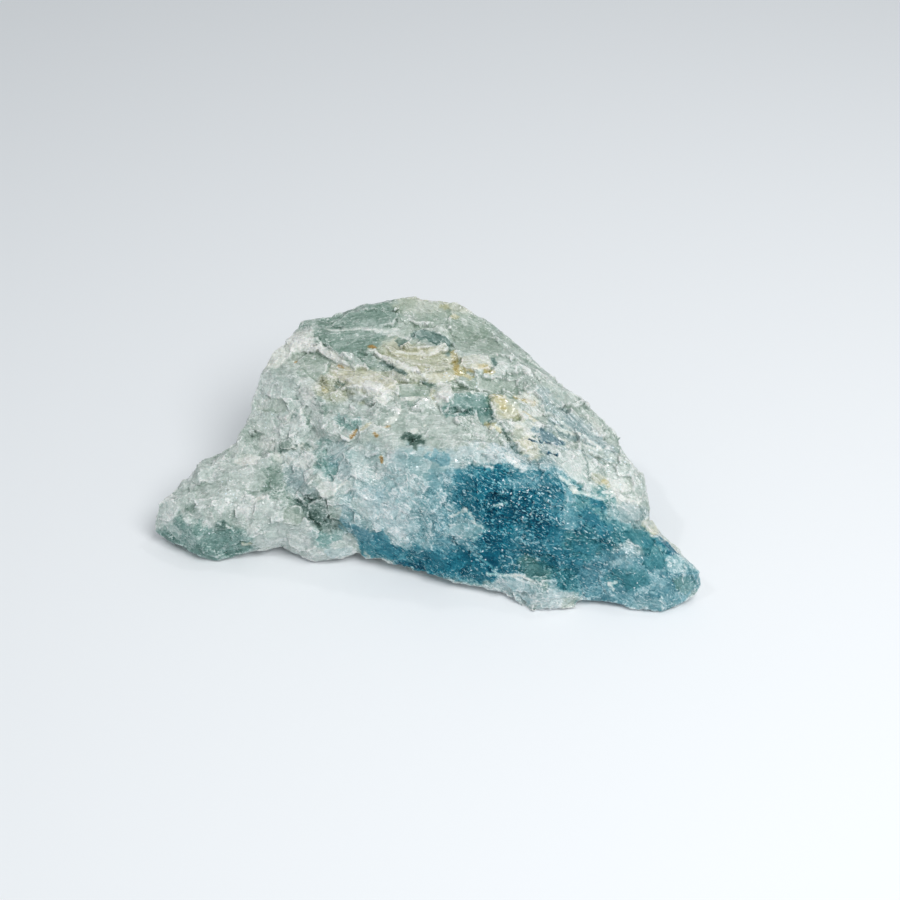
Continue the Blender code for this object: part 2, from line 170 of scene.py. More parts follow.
# %% How each zone breaks
# middle, way the plates run, length, width, lean (front edge up), scatter of the leans, step, grit; mm
ZONES = {
    "crown": ((-6, 11, 19.5), (1, 0.1, 0), 4.5, 2.4, 0.02, 0.04, 0.06, 0.1),
    "crown_left": ((-18, 9, 14.5), (1, -0.5, 0), 2.8, 1.8, 0.06, 0.10, 0.10, 0.25),
    "crown_right": ((6, 10, 19), (1, -0.6, -0.2), 4.5, 1.5, 0.05, 0.07, 0.08, 0.25),
    "ledges_left": ((-9, 3, 16), (1, -0.5, 0), 3.0, 1.3, 0.22, 0.14, 0.16, 0.5),
    "ledges_right": ((1, 2.5, 17), (1, -0.1, 0), 3.4, 1.2, 0.22, 0.12, 0.14, 0.4),
    "smooth_face": ((0, -6, 15), (1, -0.1, 0), 5.0, 1.6, 0.0, 0.03, 0.02, 0.15),
    "ochre_broken": ((9, -3, 16), (1, -0.7, 0), 2.0, 1.2, 0.16, 0.2, 0.18, 0.7),
    "flank": ((19, -1, 12), (0.66, -0.72, -0.25), 6.0, 0.9, 0.08, 0.14, 0.14, 0.45),
    "flank_low": ((20, 7, 6), (0.66, -0.72, -0.1), 5.0, 1.4, 0.0, 0.14, 0.16, 0.35),
    "white_brow": ((20, -8, 11), (0.8, -0.6, -0.2), 2.2, 1.0, 0.12, 0.2, 0.18, 0.8),
    "blue_heart": ((10, -13, 9), (1, -0.3, -0.4), 2.2, 1.5, 0.0, 0.09, 0.04, 0.9),
    "blue_left": ((-3, -12, 8), (1, -0.2, -0.5), 2.0, 1.4, 0.0, 0.12, 0.07, 0.7),
    "blue_right": ((21, -14, 6), (0.9, -0.3, -0.3), 2.6, 1.5, 0.0, 0.1, 0.06, 0.75),
    "right_arm": ((28, -16, 5), (0.7, -0.7, -0.2), 2.8, 1.5, 0.02, 0.1, 0.06, 0.5),
    "left_face": ((-13, -5, 11), (1, -0.3, -0.3), 1.8, 1.3, 0.08, 0.17, 0.11, 0.5),
    "left_shoulder": ((-19, 3, 11), (0.5, -0.8, 0), 2.0, 1.4, 0.06, 0.13, 0.09, 0.4),
    "left_arm": ((-26, -6, 6), (1, 0.4, 0), 1.8, 1.4, 0.0, 0.1, 0.05, 0.35),
    "foot": ((-13, -11, 2), (1, 0, 0), 2.4, 1.6, 0.0, 0.12, 0.07, 0.4),
    "back": ((0, 21, 9), (1, 0, 0.2), 4.4, 2.0, 0.0, 0.12, 0.12, 0.5),
    "back_left": ((-20, 13, 8), (0.7, 0.7, 0.2), 4.0, 1.8, 0.0, 0.12, 0.11, 0.5),
    "back_right": ((13, 15, 9), (0.8, -0.6, 0.1), 4.4, 1.8, 0.0, 0.12, 0.11, 0.45),
    "underside": ((0, 0, -1), (1, 0, 0), 4.0, 4.0, 0.0, 0.05, 0.04, 0.2),
}
PLATE_TURN = 4.0  # how much a turn of the skin counts against nearness, so that no plate wraps an edge
PLATE_LIMIT = 0.5  # the most that a plate moves the skin, mm
PLATE_SHARE = 0.62  # squared distance between seeds, in plates
PLATE_TRIES = 14000
LEAST_POINTS = 8  # a plate with no more points than this is left alone


def unit(vector):
    return np.array(vector, float) / np.linalg.norm(vector)


def plate_frame(way, length, width):
    """Rows that measure along and across a plate, in plates."""
    along = unit(way)
    across = np.eye(3) - np.outer(along, along)
    return np.vstack([along / length, across / width])


zones = list(ZONES.values())
zone_frames = [plate_frame(*zone[1:4]) for zone in zones]
zone_middles = np.array([zone[0] for zone in zones], float)
zone_grit = np.array([zone[7] for zone in zones], float)


def zone_of(points):
    """The number of each point's zone, with ragged borders."""
    ragged = points + np.column_stack([2.0 * waves(points, 3.0, 1, shift) for shift in (0, 9, 18)])
    return np.linalg.norm(ragged[:, None] - zone_middles, axis=2).argmin(axis=1)


# %% Strew the seeds and lay the plates
def strewn(points, zone_numbers):
    """Picks points that are at least a plate apart, each by the measure of its own zone."""
    chosen = []
    for place in seeds.choice(len(points), PLATE_TRIES, replace=False):
        gaps = (points[chosen] - points[place]) @ zone_frames[zone_numbers[place]].T
        if not chosen or (gaps**2).sum(axis=1).min() > PLATE_SHARE:
            chosen.append(place)
    return np.array(chosen)


def laid_flat(own_points, facing, step):
    """Where the points go to lie in one plane through their middle, raised or sunk by the step."""
    proud = (own_points - own_points.mean(axis=0)) @ facing - step
    return own_points - np.clip(proud, -PLATE_LIMIT, PLATE_LIMIT)[:, None] * facing


def leaned(facing, way, lean, scatter):
    """The facing of a plate whose front edge stands up, and that leans a little at random."""
    front = unit(np.cross(facing, way))
    tilted = facing + np.sign(front[1]) * lean * front + seeds.normal(0, scatter, 3)
    return unit(tilted)


def plate_owners(points, normals, numbers, chosen):
    """The number of each point's plate."""
    best = np.full(len(points), np.inf)
    owner = np.zeros(len(points), int)
    for number, place in enumerate(chosen):
        gap = (((points - points[place]) @ zone_frames[numbers[place]].T) ** 2).sum(axis=1)
        gap += PLATE_TURN * (1 - normals @ normals[place])
        closer = gap < best
        best[closer] = gap[closer]
        owner[closer] = number
    return owner


points, normals = read_skin(stone.data)
zone_numbers = zone_of(points)
plate_seeds = strewn(points, zone_numbers)
plates = plate_owners(points, normals, zone_numbers, plate_seeds)
for number, place in enumerate(plate_seeds):
    own = np.flatnonzero(plates == number)
    if len(own) > LEAST_POINTS:
        _, way, _, _, lean, scatter, step, _ = zones[zone_numbers[place]]
        facing = leaned(unit(normals[own].mean(axis=0)), way, lean, scatter)
        points[own] = laid_flat(points[own], facing, step * seeds.uniform(-1, 1))
write_skin(stone.data, points)
print("broken into", len(plate_seeds), "plates")

# %% [markdown]
# ## Chips inside the plates
#
# Each plate is itself chipped. The chips are under a millimetre, and there are thousands of them, so the
# nearest seed is looked up in a k-d tree instead of being measured against every seed. A gritty zone has
# chips that lean a lot, and a smooth one has next to none.

# %% Chip the plates
CHIP_COUNT = 7000
CHIP_SCATTER = 0.16
CHIP_STEP = 0.03  # mm
CHIP_SHARE = 0.7  # how far the skin goes towards each facet
CHIP_POINTS = 5  # a chip with no more points than this is left alone

points, normals = read_skin(stone.data)
chip_seeds = seeds.choice(len(points), CHIP_COUNT, replace=False)
chip_tree = kdtree.KDTree(CHIP_COUNT)
for number, place in enumerate(chip_seeds):
    chip_tree.insert(points[place], number)
chip_tree.balance()
chips = np.array([chip_tree.find(place)[1] for place in points])
order = np.argsort(chips, kind="stable")
starts = np.searchsorted(chips[order], np.arange(CHIP_COUNT + 1))
for seed, low, high in zip(chip_seeds, starts[:-1], starts[1:]):
    own = order[low:high]
    grit = zone_grit[zone_numbers[seed]]
    if len(own) > CHIP_POINTS:
        facing = leaned(unit(normals[own].mean(axis=0)), (1, 0, 0), 0, CHIP_SCATTER * grit)
        flat = laid_flat(points[own], facing, CHIP_STEP * grit * seeds.uniform(-1, 1))
        points[own] += CHIP_SHARE * (flat - points[own])
write_skin(stone.data, points)
fine_normals = normals
print("chipped with", CHIP_COUNT, "facets")

# %% [markdown]
# ## The faces that make it this stone
#
# The plates so far are random, as on any lump. These are the faces that someone who knows this stone
# would look for: the white fin and the cream blocks across its middle, the clear windows, the lumps on
# its arms. Each is an outline on the skin. The skin inside it is laid flat and raised or sunk, so that it
# ends in a small cliff. Painting them would be quicker, but then they would catch no light.

# %% Named faces
# paint, rise in mm, grit, corners in mm
FACETS = {
    "rear slab": ("green", 0, 0.1, (-9.4, 14.4, 19.8), (-4.8, 13.8, 20.2), (-3, 12.8, 20.2), (-3.6, 11.6, 19),
        (-8, 11.6, 18.8), (-12, 12.6, 18.4)),
    "crown lobe": ("grey_green", 0, 0.2, (-3.2, 15.8, 20.6), (2.2, 14.8, 21), (3.6, 13.4, 20.8),
        (3.2, 11.2, 20), (-1, 11.6, 19.4), (-3, 13, 20.2)),
    "second slab": ("green", -0.2, 0.15, (-13.4, 11.2, 17.2), (-11.2, 11.2, 18), (-6.4, 11.2, 18.6),
        (-5, 10, 18.6), (-6, 8.6, 18), (-9, 7.4, 17.2), (-10.6, 7.4, 17.2), (-12, 9.2, 17.6)),
    "left white ledge": ("white", 0.3, 0.6, (-17.2, 11.4, 16.6), (-13.4, 11, 17.2), (-11.4, 8, 17.8),
        (-9.6, 6.4, 17.4), (-10.8, 7, 16.6), (-13.4, 9.4, 16.6), (-16.6, 10, 16.4)),
    "left facet": ("grey_green", 0.15, 0.1, (-14.8, 9.8, 16.2), (-13.4, 9.4, 16.6), (-11.8, 7.8, 16.2),
        (-12, 6.4, 15.4), (-13.2, 5, 14.8), (-15, 6.8, 15.2), (-16, 9.2, 15.2)),
    "notch right": ("dark_green", -0.3, 0.2, (-0.6, 11, 19), (2.8, 9.6, 19), (1.8, 8, 18.8),
        (0.6, 8.8, 18.8)),
    "notch left": ("dark_green", -0.2, 0.2, (-3.8, 9.2, 18.6), (-2.8, 10, 18.6), (-1.8, 8.8, 18.6),
        (-2.4, 7.4, 18.4)),
    "long fin": ("white", 0.35, 0.5, (-7.4, 7.8, 17.8), (-6, 8, 17.8), (-3, 4.4, 18.4), (-0.2, 3.6, 18.6),
        (-0.2, 2.6, 18.6), (-2.6, 3.4, 18.2), (-4.6, 5.4, 18.2), (-6.2, 7.4, 17.6)),
    "layer behind the fin": ("sand", 0.1, 0.5, (-5.4, 9, 18.2), (-3.2, 6, 18.4), (-0.4, 5.4, 18.4),
        (3.4, 6.8, 18.4), (3, 8.2, 18.6), (0.2, 6.8, 18.4), (-2.2, 7.2, 18.4)),
    "slab under the fin": ("green", -0.2, 0.3, (-8.2, 7.2, 17.2), (-6.6, 7.6, 17.6), (-3.2, 4, 18.2),
        (-4.4, 4.4, 17), (-6.4, 4.8, 17.2)),
    "small cream flake": ("cream", 0.15, 0.7, (-11.8, 7.6, 16.4), (-9.6, 6, 17.2), (-8.2, 3.2, 17),
        (-10.4, 4.8, 15.4), (-12, 6.4, 15.6)),
    "cream block": ("cream", 0.4, 0.5, (-8.2, 5.6, 17.2), (-6.4, 4.8, 17.2), (-3, 2.2, 17.4), (-3, 1.2, 16.6),
        (-5.6, 0, 17), (-7.4, 1.4, 16.6), (-9.6, 4, 15.8), (-8.8, 4.2, 16.8)),
    "bright end of the block": ("white", 0.55, 0.3, (-7, 2.8, 17), (-5, 1.8, 17.4), (-4.6, 0.8, 17.2),
        (-5.8, 0.2, 17), (-7.4, 1.6, 16.8)),
    # painted shade: the moss in the gap under the cream block
    "painted shade in the gap under the block": ("moss", -0.3, 0.5, (-11, 5.2, 15.4), (-9.6, 4, 15.8), (-10.2, 3.2, 15.4),
        (-11, 3.6, 15.4)),
    "grey flake": ("clear", 0.1, 0.4, (-9.6, 3.4, 15.8), (-8, 1.8, 16.4), (-6.6, 0.4, 16.4),
        (-7.6, 0.6, 15.4), (-9.2, 1.6, 15)),
    "white flake": ("white", 0.15, 0.5, (-6, -0.2, 16.6), (-3.8, -0.6, 16.8), (-4.8, -1.8, 16.4)),
    "layers by the tooth": ("cream", 0.15, 0.5, (-0.2, 2.6, 18.6), (1.4, 2.8, 18.8), (3.4, 2.8, 18.2),
        (4, 2, 17.8), (1.4, 1.2, 18), (0.2, 2.2, 17.8)),
    "grey slab": ("green", -0.1, 0.2, (-2.8, 1.8, 17.4), (1, 0.8, 17.8), (1, -0.6, 17.2), (-2.8, -0.6, 17)),
    "tooth": ("white", 0.4, 0.4, (1.4, 0.4, 18), (3.6, 1.4, 17.4), (3.8, -0.6, 17.8), (3.2, -2.4, 17.4),
        (2.2, -1.4, 17.4)),
    "slab under the slab": ("green", -0.1, 0.2, (-2.6, -1.2, 17), (-0.2, -1.4, 17.2), (-1.4, -2.2, 16.8),
        (-2.6, -2.2, 16.6)),
    "ochre block": ("cream", 0.4, 0.5, (4.6, 5.4, 18.2), (5.8, 5.8, 18.6), (8.4, 6, 18.2), (8.4, 3.6, 18.8),
        (6.8, 3.4, 18.4), (5.2, 3.4, 18.4)),
    "upper right slab": ("grey_green", 0, 0.2, (3.6, 9, 18.6), (6, 9.8, 19.2), (8.6, 9.6, 19),
        (10, 7.4, 18.4), (9.4, 5.8, 18.2), (5.8, 6, 18.8), (4.2, 7.2, 18.6)),
    "right triangle": ("pale", 0.2, 0.3, (9.4, 4.6, 18.4), (10.6, 3.8, 18), (9.6, 2.4, 17.6),
        (7.6, 2.2, 18)),
    "grey band": ("grey_green", 0, 0.2, (3.6, 1.8, 17.8), (7.6, 2.2, 18), (11.8, 2.6, 17.2), (11, 0.4, 17.2),
        (5.8, 0.8, 17.2)),
    "teal window": ("jade", -0.15, 0.05, (3.8, -0.6, 17.8), (8, 0.2, 17.6), (8.4, -0.8, 16.8),
        (8.2, -2, 16.4), (4.4, -2.4, 17), (3.6, -1.6, 17.6)),
    "lower teal window": ("jade", -0.15, 0.05, (6.4, -2.2, 16.6), (8.2, -2.2, 16.4), (8.8, -4.4, 17),
        (7, -4.2, 16.4)),
    "olive patch": ("sand", 0.15, 0.2, (8.6, -1.2, 16.8), (12, -0.8, 16.8), (12, -2.8, 16.6),
        (10.4, -4.2, 16.8), (9, -4.4, 17)),
    "broken cream": ("cream", 0.2, 0.8, (11, 0.2, 17.2), (12.8, 1.2, 16.6), (14.4, 0.2, 16.4),
        (14.2, -0.8, 16), (12.2, -0.8, 16.6)),
    "broken white": ("white", 0.1, 0.9, (12.4, -1.2, 16.4), (14.4, -0.8, 16), (15.2, -1.6, 15.6),
        (13.6, -2.8, 15.4), (12.4, -3, 16.4)),
    "white stripe": ("white", 0.25, 0.6, (10, -4.6, 16.6), (12, -3.8, 16), (14, -4.4, 15), (14.4, -5.4, 15),
        (12.8, -6, 15.6), (11.2, -5.2, 16)),
    "grey facet": ("grey_green", -0.1, 0.2, (10.8, -5.8, 16), (12, -5, 15.8), (12.6, -6, 15.6),
        (11.4, -6.8, 15.6)),
    "cream foot": ("cream", 0.15, 0.6, (11, -7, 15.4), (13, -6.6, 15.6), (13, -7.8, 15.2), (12.4, -8.2, 14.8),
        (11.4, -7.8, 14.8)),
    "arm window": ("pale", 0, 0.15, (-24, -4.6, 8.8), (-19.8, -5, 9.4), (-18.8, -6.2, 8.6), (-20, -8, 8.2),
        (-23.6, -7.2, 8)),
    "second arm window": ("pale", 0, 0.2, (-28, -5.6, 7.4), (-24.2, -5.6, 8.4), (-23.2, -7.6, 7.8),
        (-26.2, -8.2, 7.2), (-28.2, -7.6, 7.2)),
    "tip cap": ("clear", 0, 0.15, (-32.6, -6.6, 5), (-31, -6.8, 6.2), (-29.8, -8.2, 5.8), (-31, -8.6, 3.8),
        (-33, -7.2, 3.2)),
    "lower tip cap": ("clear", 0, 0.15, (-32.8, -7.6, 3), (-31, -8.6, 4), (-29.6, -10, 3.4),
        (-30.4, -10, 2)),
    "green lump": ("jade", 0.1, 0.2, (-25.8, -11, 4), (-24, -11.4, 3.8), (-24.6, -11.8, 2.4),
        (-26.6, -11.6, 2.6)),
    "next green lump": ("jade", 0.1, 0.2, (-23.2, -11.2, 4.2), (-22.4, -11.4, 3.6), (-22.8, -11.6, 2.6),
        (-24, -11.8, 2.4)),
    "small lump": ("green", 0.2, 0.1, (-25, -10.4, 5.4), (-24, -10.6, 5.2), (-24, -11, 4.6),
        (-25, -10.8, 4.6)),
    "clear nub": ("sand", 0.3, 0.1, (-22.4, -11.4, 3.2), (-20.6, -11.4, 3), (-21, -11.6, 2.2),
        (-22.2, -11.6, 2.4)),
    "round green lump": ("green", 0.3, 0.15, (-18.8, -5.8, 8.6), (-17.4, -5.2, 8.6), (-16.6, -7.2, 8.6),
        (-16.8, -8.4, 7.8), (-18.4, -8.2, 8)),
    "bluish facet": ("haze", 0, 0.3, (-16.4, -5.8, 9.4), (-14.6, -5.6, 9.8), (-14.2, -7.8, 9.8),
        (-15.2, -8, 8.2), (-16.6, -7.2, 8.6)),
    "olive facet": ("grey_green", 0, 0.3, (-16.8, -10, 7.4), (-14.8, -9.8, 7.8), (-14.2, -10.4, 6.6),
        (-15, -11.4, 5.6), (-16.8, -11, 5.8)),
    "foot slab": ("clear", 0.05, 0.4, (-16.4, -11.2, 5), (-13.4, -11.2, 5.8), (-12.4, -11.8, 5.2),
        (-12.8, -12.4, 3.4), (-15, -12, 1.8), (-16.6, -11.6, 3)),
    "right foot slab": ("veil", 0.05, 0.4, (-12, -12.6, 3), (-8.6, -11.2, 2.4), (-8.8, -12, 1.4),
        (-11.4, -12.8, 1.2)),
    "foot window": ("teal", 0, 0.2, (-13, -12, 4.4), (-11.2, -11.8, 4.8), (-11, -12.6, 3.8),
        (-12.2, -12.4, 2.8)),
    "second foot window": ("teal", 0, 0.3, (-11.2, -11.4, 5.2), (-9.6, -11.4, 5), (-9.6, -11.8, 3.8),
        (-10.8, -12.4, 4)),
    "white blob": ("white", 0.2, 0.7, (-20.8, 0.4, 10.2), (-20, 0, 10.8), (-18.2, -1.6, 10.6),
        (-19, -2.2, 10), (-20.6, -1, 9.6)),
    "white grains": ("white", 0, 0.9, (-22.8, -1.6, 9.2), (-20, -2.6, 9.4), (-20.4, -4, 9), (-22.4, -4, 9)),
    "dark lump": ("olive", 0.3, 0.1, (-17.4, -1.4, 11), (-15.6, -1.6, 11.4), (-15.4, -3, 10.8),
        (-17.4, -2.2, 9.8)),
    "second dark lump": ("olive", 0.2, 0.1, (-15.2, -2.4, 11), (-14.2, -2, 11), (-14, -3.6, 11.2),
        (-14.8, -3.8, 10.8)),
    "tan facet": ("pale", 0.1, 0.4, (-22, 3.6, 10.4), (-19.4, 3.2, 11.8), (-18.6, 0.8, 11.8),
        (-19.6, 0, 10.8), (-21.4, 1.4, 10.2)),
    "white diagonal": ("white", 0.15, 0.8, (-17.6, 1.6, 12.4), (-15.8, 2.4, 13.2), (-14.6, 2.6, 13.6),
        (-15, 1.4, 12.8), (-16.8, 0.8, 12)),
    "upper white diagonal": ("white", 0.1, 0.8, (-16, 4.6, 14.4), (-14.6, 4.8, 15), (-13.2, 2.4, 15),
        (-14.6, 2.8, 13.6)),
    "shoulder window": ("grey_green", 0, 0.2, (-21.4, 5.8, 11.6), (-18, 4.2, 13.4), (-16.6, 3, 13.2),
        (-17.6, 2.2, 12.6), (-21.2, 4.2, 11)),
    "dark wedge": ("green", -0.2, 0.1, (-14.4, 1, 13.4), (-13.8, 1.4, 13.6), (-14, -0.2, 12),
        (-14.6, 0, 12.2)),
    "teal facet": ("haze", 0, 0.3, (-11.8, -3, 12), (-9.4, -4.4, 13.6), (-8.8, -5.6, 13), (-10.2, -6.4, 11.8),
        (-12, -6, 11.6)),
    "lower teal facet": ("teal", -0.1, 0.3, (-12.2, -6.4, 11.4), (-10.2, -6.8, 11.4), (-10.2, -8, 10.6),
        (-11.6, -7.4, 10.6)),
    "right teal facet": ("haze", 0, 0.4, (-10, -7, 11.4), (-8.8, -6.6, 12), (-8.2, -8.6, 11.4),
        (-9.2, -9, 10.8), (-10.2, -8, 10.6)),
    "white crystals": ("white", 0.3, 0.4, (-12.6, -9, 9.4), (-11, -8.2, 10), (-9.8, -9.4, 10.2),
        (-10.4, -10.6, 9.6), (-12, -10, 9)),
    "slanted flake": ("clear", 0.2, 0.5, (-10.2, -9.2, 10), (-8.4, -9.2, 11.2), (-8.2, -10.2, 11),
        (-9.6, -10.4, 9.8)),
    "crease shade": ("moss", -0.15, 0.4, (-13.8, -9.6, 8), (-11.8, -10.2, 9), (-11.2, -11.2, 7.8),
        (-12.2, -11, 5.6), (-13.4, -10.4, 6.4)),
    "crease shade right": ("grey_green", 0, 0.4, (-11.6, -10.6, 8.8), (-9.6, -11.2, 8.2), (-10, -11.2, 6.6),
        (-11.4, -11.2, 6.4)),
    "blue wedge": ("sky", 0, 0.3, (-8.4, -11.6, 6.8), (-7.2, -11.6, 6.6), (-6, -13.2, 5.6),
        (-6.8, -12.6, 3.6), (-8, -11.8, 3.8)),
    "lower blue wedge": ("blue", 0, 0.3, (-6, -13.2, 6), (-4.6, -13.2, 6.6), (-3.6, -13.4, 4.4),
        (-2.4, -13.4, 3.6), (-3.2, -13.2, 2.4), (-5.8, -12.8, 2.6)),
    "sky spot": ("sky", 0, 0.3, (-5.4, -10.8, 11.2), (-4.2, -10.8, 11.6), (-4.6, -11.4, 10.4),
        (-5.4, -11.2, 10.2)),
    "pale facet": ("pale", 0, 0.4, (-8.4, -10.6, 10), (-6, -11.4, 10), (-5.2, -12.4, 9), (-6.6, -12.8, 8.2),
        (-8.4, -11.4, 8.8)),
    "upper veil flake": ("mist", 0.2, 0.5, (3.6, -13.2, 9.2), (5.8, -13.4, 10.6), (6.4, -13.8, 9.2),
        (4.8, -13.6, 8.8)),
    "veil flake": ("mist", 0.15, 0.4, (3.2, -13.6, 8.4), (7.4, -13.8, 8.8), (7.6, -14.4, 7.8), (6.2, -15, 7),
        (3.4, -14.4, 6.8)),
    "dark triangle": ("night", 0, 0.05, (7, -15.6, 5.4), (9.2, -15.8, 6), (9.2, -16.8, 4.2),
        (8.4, -16.4, 3.8)),
    "low blue facet": ("blue", 0, 0.3, (1, -14.6, 5.2), (3, -14.8, 4.6), (3.2, -15, 2.8), (1.4, -14.6, 2.8)),
    "second low facet": ("blue", 0, 0.3, (3.4, -14.8, 4.6), (5.8, -15.4, 5.6), (6.2, -16, 3.6),
        (4, -15.2, 2.2)),
    "green window": ("bottle", 0, 0.3, (12.2, -17, 5), (14.6, -17.4, 5.6), (14.6, -19, 4.8),
        (12.4, -18.6, 4)),
    "light heart facet": ("sky", 0, 0.5, (16.6, -14, 11), (18.4, -13.6, 11), (19.2, -15.2, 9),
        (17, -15.4, 8.8)),
    "round heart facet": ("sky", 0.1, 0.3, (17, -11.8, 11.8), (18, -12, 11.8), (18, -13.2, 11.4),
        (17.2, -13.6, 11.6)),
    "right dark spot": ("blue", 0, 0.2, (19.6, -14.2, 10), (21.2, -13.8, 10), (21.2, -14.8, 9.2),
        (19.8, -15.2, 9.4)),
    "right deep band": ("blue", 0, 0.3, (17.6, -16, 7.8), (21, -16.4, 7.2), (20.6, -17.2, 5.8),
        (18.2, -16.8, 6.6)),
    "light band": ("sky", 0, 0.4, (21.2, -16.6, 6.6), (23.4, -16.8, 6.4), (23.8, -17.2, 5.6),
        (21.4, -17.4, 5.4)),
    "nodule face": ("mist", 0.3, 0.5, (9.4, -17.6, 3.4), (14.6, -19, 3.6), (14.4, -19.4, 2.6),
        (10.8, -18.8, 1.6)),
    "nodule left face": ("mist", 0.15, 0.4, (10.8, -18.6, 1.2), (13.6, -19.6, 1.8), (13, -19.8, 0.6)),
    "nodule right face": ("veil", 0.2, 0.5, (14.8, -19.2, 3.2), (18, -18.8, 2.2), (17.4, -19.8, 1.8),
        (14.8, -19.8, 1.4)),
    "pale shoulder facet": ("haze", 0.1, 0.2, (23.8, -12.4, 9.8), (25.8, -11, 9.4), (27, -11.6, 8.4),
        (26.2, -12.4, 7.4), (24, -13.8, 8.6)),
    "cream chip": ("cream", 0.2, 0.4, (26.6, -12.2, 7.4), (28, -10.6, 5.8), (28.8, -12.6, 5.8),
        (28, -14.2, 6.6), (27, -13.4, 6.8)),
    "dark arm side": ("slate", 0, 0.2, (27.8, -14, 6.8), (29.6, -14.4, 6), (30.8, -16, 5.6),
        (29.8, -16.6, 5.6), (28.6, -15.4, 6)),
    "upper arm face": ("sea", 0, 0.2, (23.8, -14.8, 8), (26.2, -13.2, 7), (28, -14.6, 6.4), (27.2, -16, 5.8),
        (25, -15.8, 6.6)),
    "green arm face": ("sea", 0, 0.2, (27.2, -16.2, 5.8), (29.4, -16.4, 5.4), (28.6, -18.2, 5),
        (26, -18, 5.4)),
    "white arm flake": ("veil", 0.1, 0.4, (22.4, -17.4, 5.6), (23.6, -17.2, 5.8), (24, -17.6, 5.4),
        (22.6, -17.6, 4.8)),
    "lower arm face": ("sea", 0, 0.3, (23.6, -18, 4.2), (26.6, -18.4, 5.2), (27.4, -19.4, 3.8),
        (24.8, -19, 2.2)),
    "tip face": ("teal", 0, 0.3, (29.8, -18.8, 4.4), (32.4, -18.2, 3.8), (33, -18.4, 2.6), (31.8, -19.2, 1.6),
        (30.2, -19.6, 3)),
    "brow face": ("clear", 0.2, 0.7, (16.6, -9.2, 14), (19, -7, 13), (20.4, -8.4, 12.2), (20, -10.4, 11.6),
        (17.6, -11.2, 13)),
    "brow ochre face": ("sand", 0.1, 0.7, (20.4, -8.6, 12.2), (22.2, -8.6, 11.2), (22.2, -10.2, 10.8),
        (20.8, -10, 11.2)),
    "brow white face": ("white", 0.1, 0.9, (22.4, -8.8, 11.2), (25.2, -8, 10.4), (25.6, -9.6, 10),
        (23, -10.6, 10.4)),
    "flank slab": ("pale", 0.1, 0.3, (15.6, 1, 16.6), (18.4, 2.8, 15.4), (19.6, 1.6, 14.6),
        (16.8, -0.8, 15.6), (15.8, -0.4, 16.4)),
    "first white streak": ("clear", 0.1, 0.6, (16, -0.8, 16.2), (17.6, -0.6, 15), (17.6, -2.6, 15.2),
        (16.4, -1.8, 16)),
    "second white streak": ("white", 0.1, 0.6, (19.4, -0.8, 13.6), (21, -0.8, 13), (22.4, -2.8, 12.4),
        (21.4, -4.6, 13.8), (19.8, -2, 13.2)),
    "dark streak": ("haze", -0.1, 0.3, (19.4, -4, 14.2), (23, -3.4, 12), (22.4, -5, 12.8), (20, -4.8, 13.6)),
    "dark flank patch": ("haze", -0.1, 0.5, (14, -4.4, 15), (15.8, -3.6, 14.6), (16.2, -5.6, 14.4),
        (14.8, -6.4, 15)),
}
FACET_FRAY = 0.2  # mm that noise pushes a face's outline
FACET_EDGE = 0.15  # mm over which its cliff falls
FACET_RISE = 0.5  # share of the listed rise that the face keeps
FACET_REACH = 1.6  # mm that the skin may lie off the face's plane
FACET_LIMIT = 0.6  # the most that flattening moves the skin, mm
FACET_FRONT = 1.4  # rise of its front edge, in shares of the rise; the back edge has 1 less
FACET_FACING = 0.2  # how squarely the skin must face the same way
TREMBLE = 0.035  # mm of fine waves that keep the faces from being as flat as glass


def line_gap(places, start, end):
    """Distance from each place to the line between two ends, in a plane or in space."""
    along = end - start
    share = np.clip((places - start) @ along / (along @ along), 0, 1)
    return np.linalg.norm(places - start - share[:, None] * along, axis=1)


def outline_gap(places, corners):
    """Distance to a closed outline in a plane. It is below 0 inside."""
    gap = np.full(len(places), np.inf)
    inside = np.zeros(len(places), bool)
    for start, end in zip(corners, np.roll(corners, -1, axis=0)):
        gap = np.minimum(gap, line_gap(places, start, end))
        crosses = (start[1] > places[:, 1]) != (end[1] > places[:, 1])
        reach = (places[:, 1] - start[1]) * (end[0] - start[0]) / (end[1] - start[1] + 1e-9) + start[0]
        inside ^= crosses & (places[:, 0] < reach)
    return np.where(inside, -gap, gap)


def facet_gap(near_points, corners, facing):
    along = unit(np.cross(facing, (0.3, 0.4, 0.9)))
    plane = np.column_stack([along, np.cross(facing, along)])
    return outline_gap(near_points @ plane, corners @ plane)


points, normals = read_skin(stone.data)
fray = FACET_FRAY * np.column_stack([waves(points, 0.9, 2, shift) for shift in (2, 13, 27)])
grits = list(zone_grit[zone_numbers[plate_seeds]])
first_facet = len(plate_seeds)
for _, rise, grit, *corners in FACETS.values():
    corners = np.array(corners, float)
    middle = corners.mean(axis=0)
    radius = np.linalg.norm(corners - middle, axis=1).max()
    near = np.flatnonzero(np.linalg.norm(points - middle, axis=1) < radius + 1)
    facing = unit(np.linalg.svd(corners - middle)[2][2])
    facing *= np.sign((normals[near] @ facing).sum())
    gap = facet_gap(points[near] + fray[near], corners, facing)
    near, gap = near[gap < 0], gap[gap < 0]
    fits = np.abs((points[near] - middle) @ facing) < FACET_REACH
    fits &= normals[near] @ facing > FACET_FACING
    near, gap = near[fits], gap[fits]
    facing = unit(normals[near].mean(axis=0))
    proud = (points[near] - points[near].mean(axis=0)) @ facing
    back = points[near, 1] - points[near, 1].min()
    lift = FACET_RISE * rise * (FACET_FRONT - back / (back.max() + 1e-9))
    move = lift - np.clip(proud, -FACET_LIMIT, FACET_LIMIT)
    points[near] += ((1 - eased(gap, -FACET_EDGE, 0)) * move)[:, None] * facing
    plates[near] = len(grits)
    chips[near] = CHIP_COUNT
    plate_seeds = np.append(plate_seeds, near[np.linalg.norm(points[near] - middle, axis=1).argmin()])
    grits.append(grit)
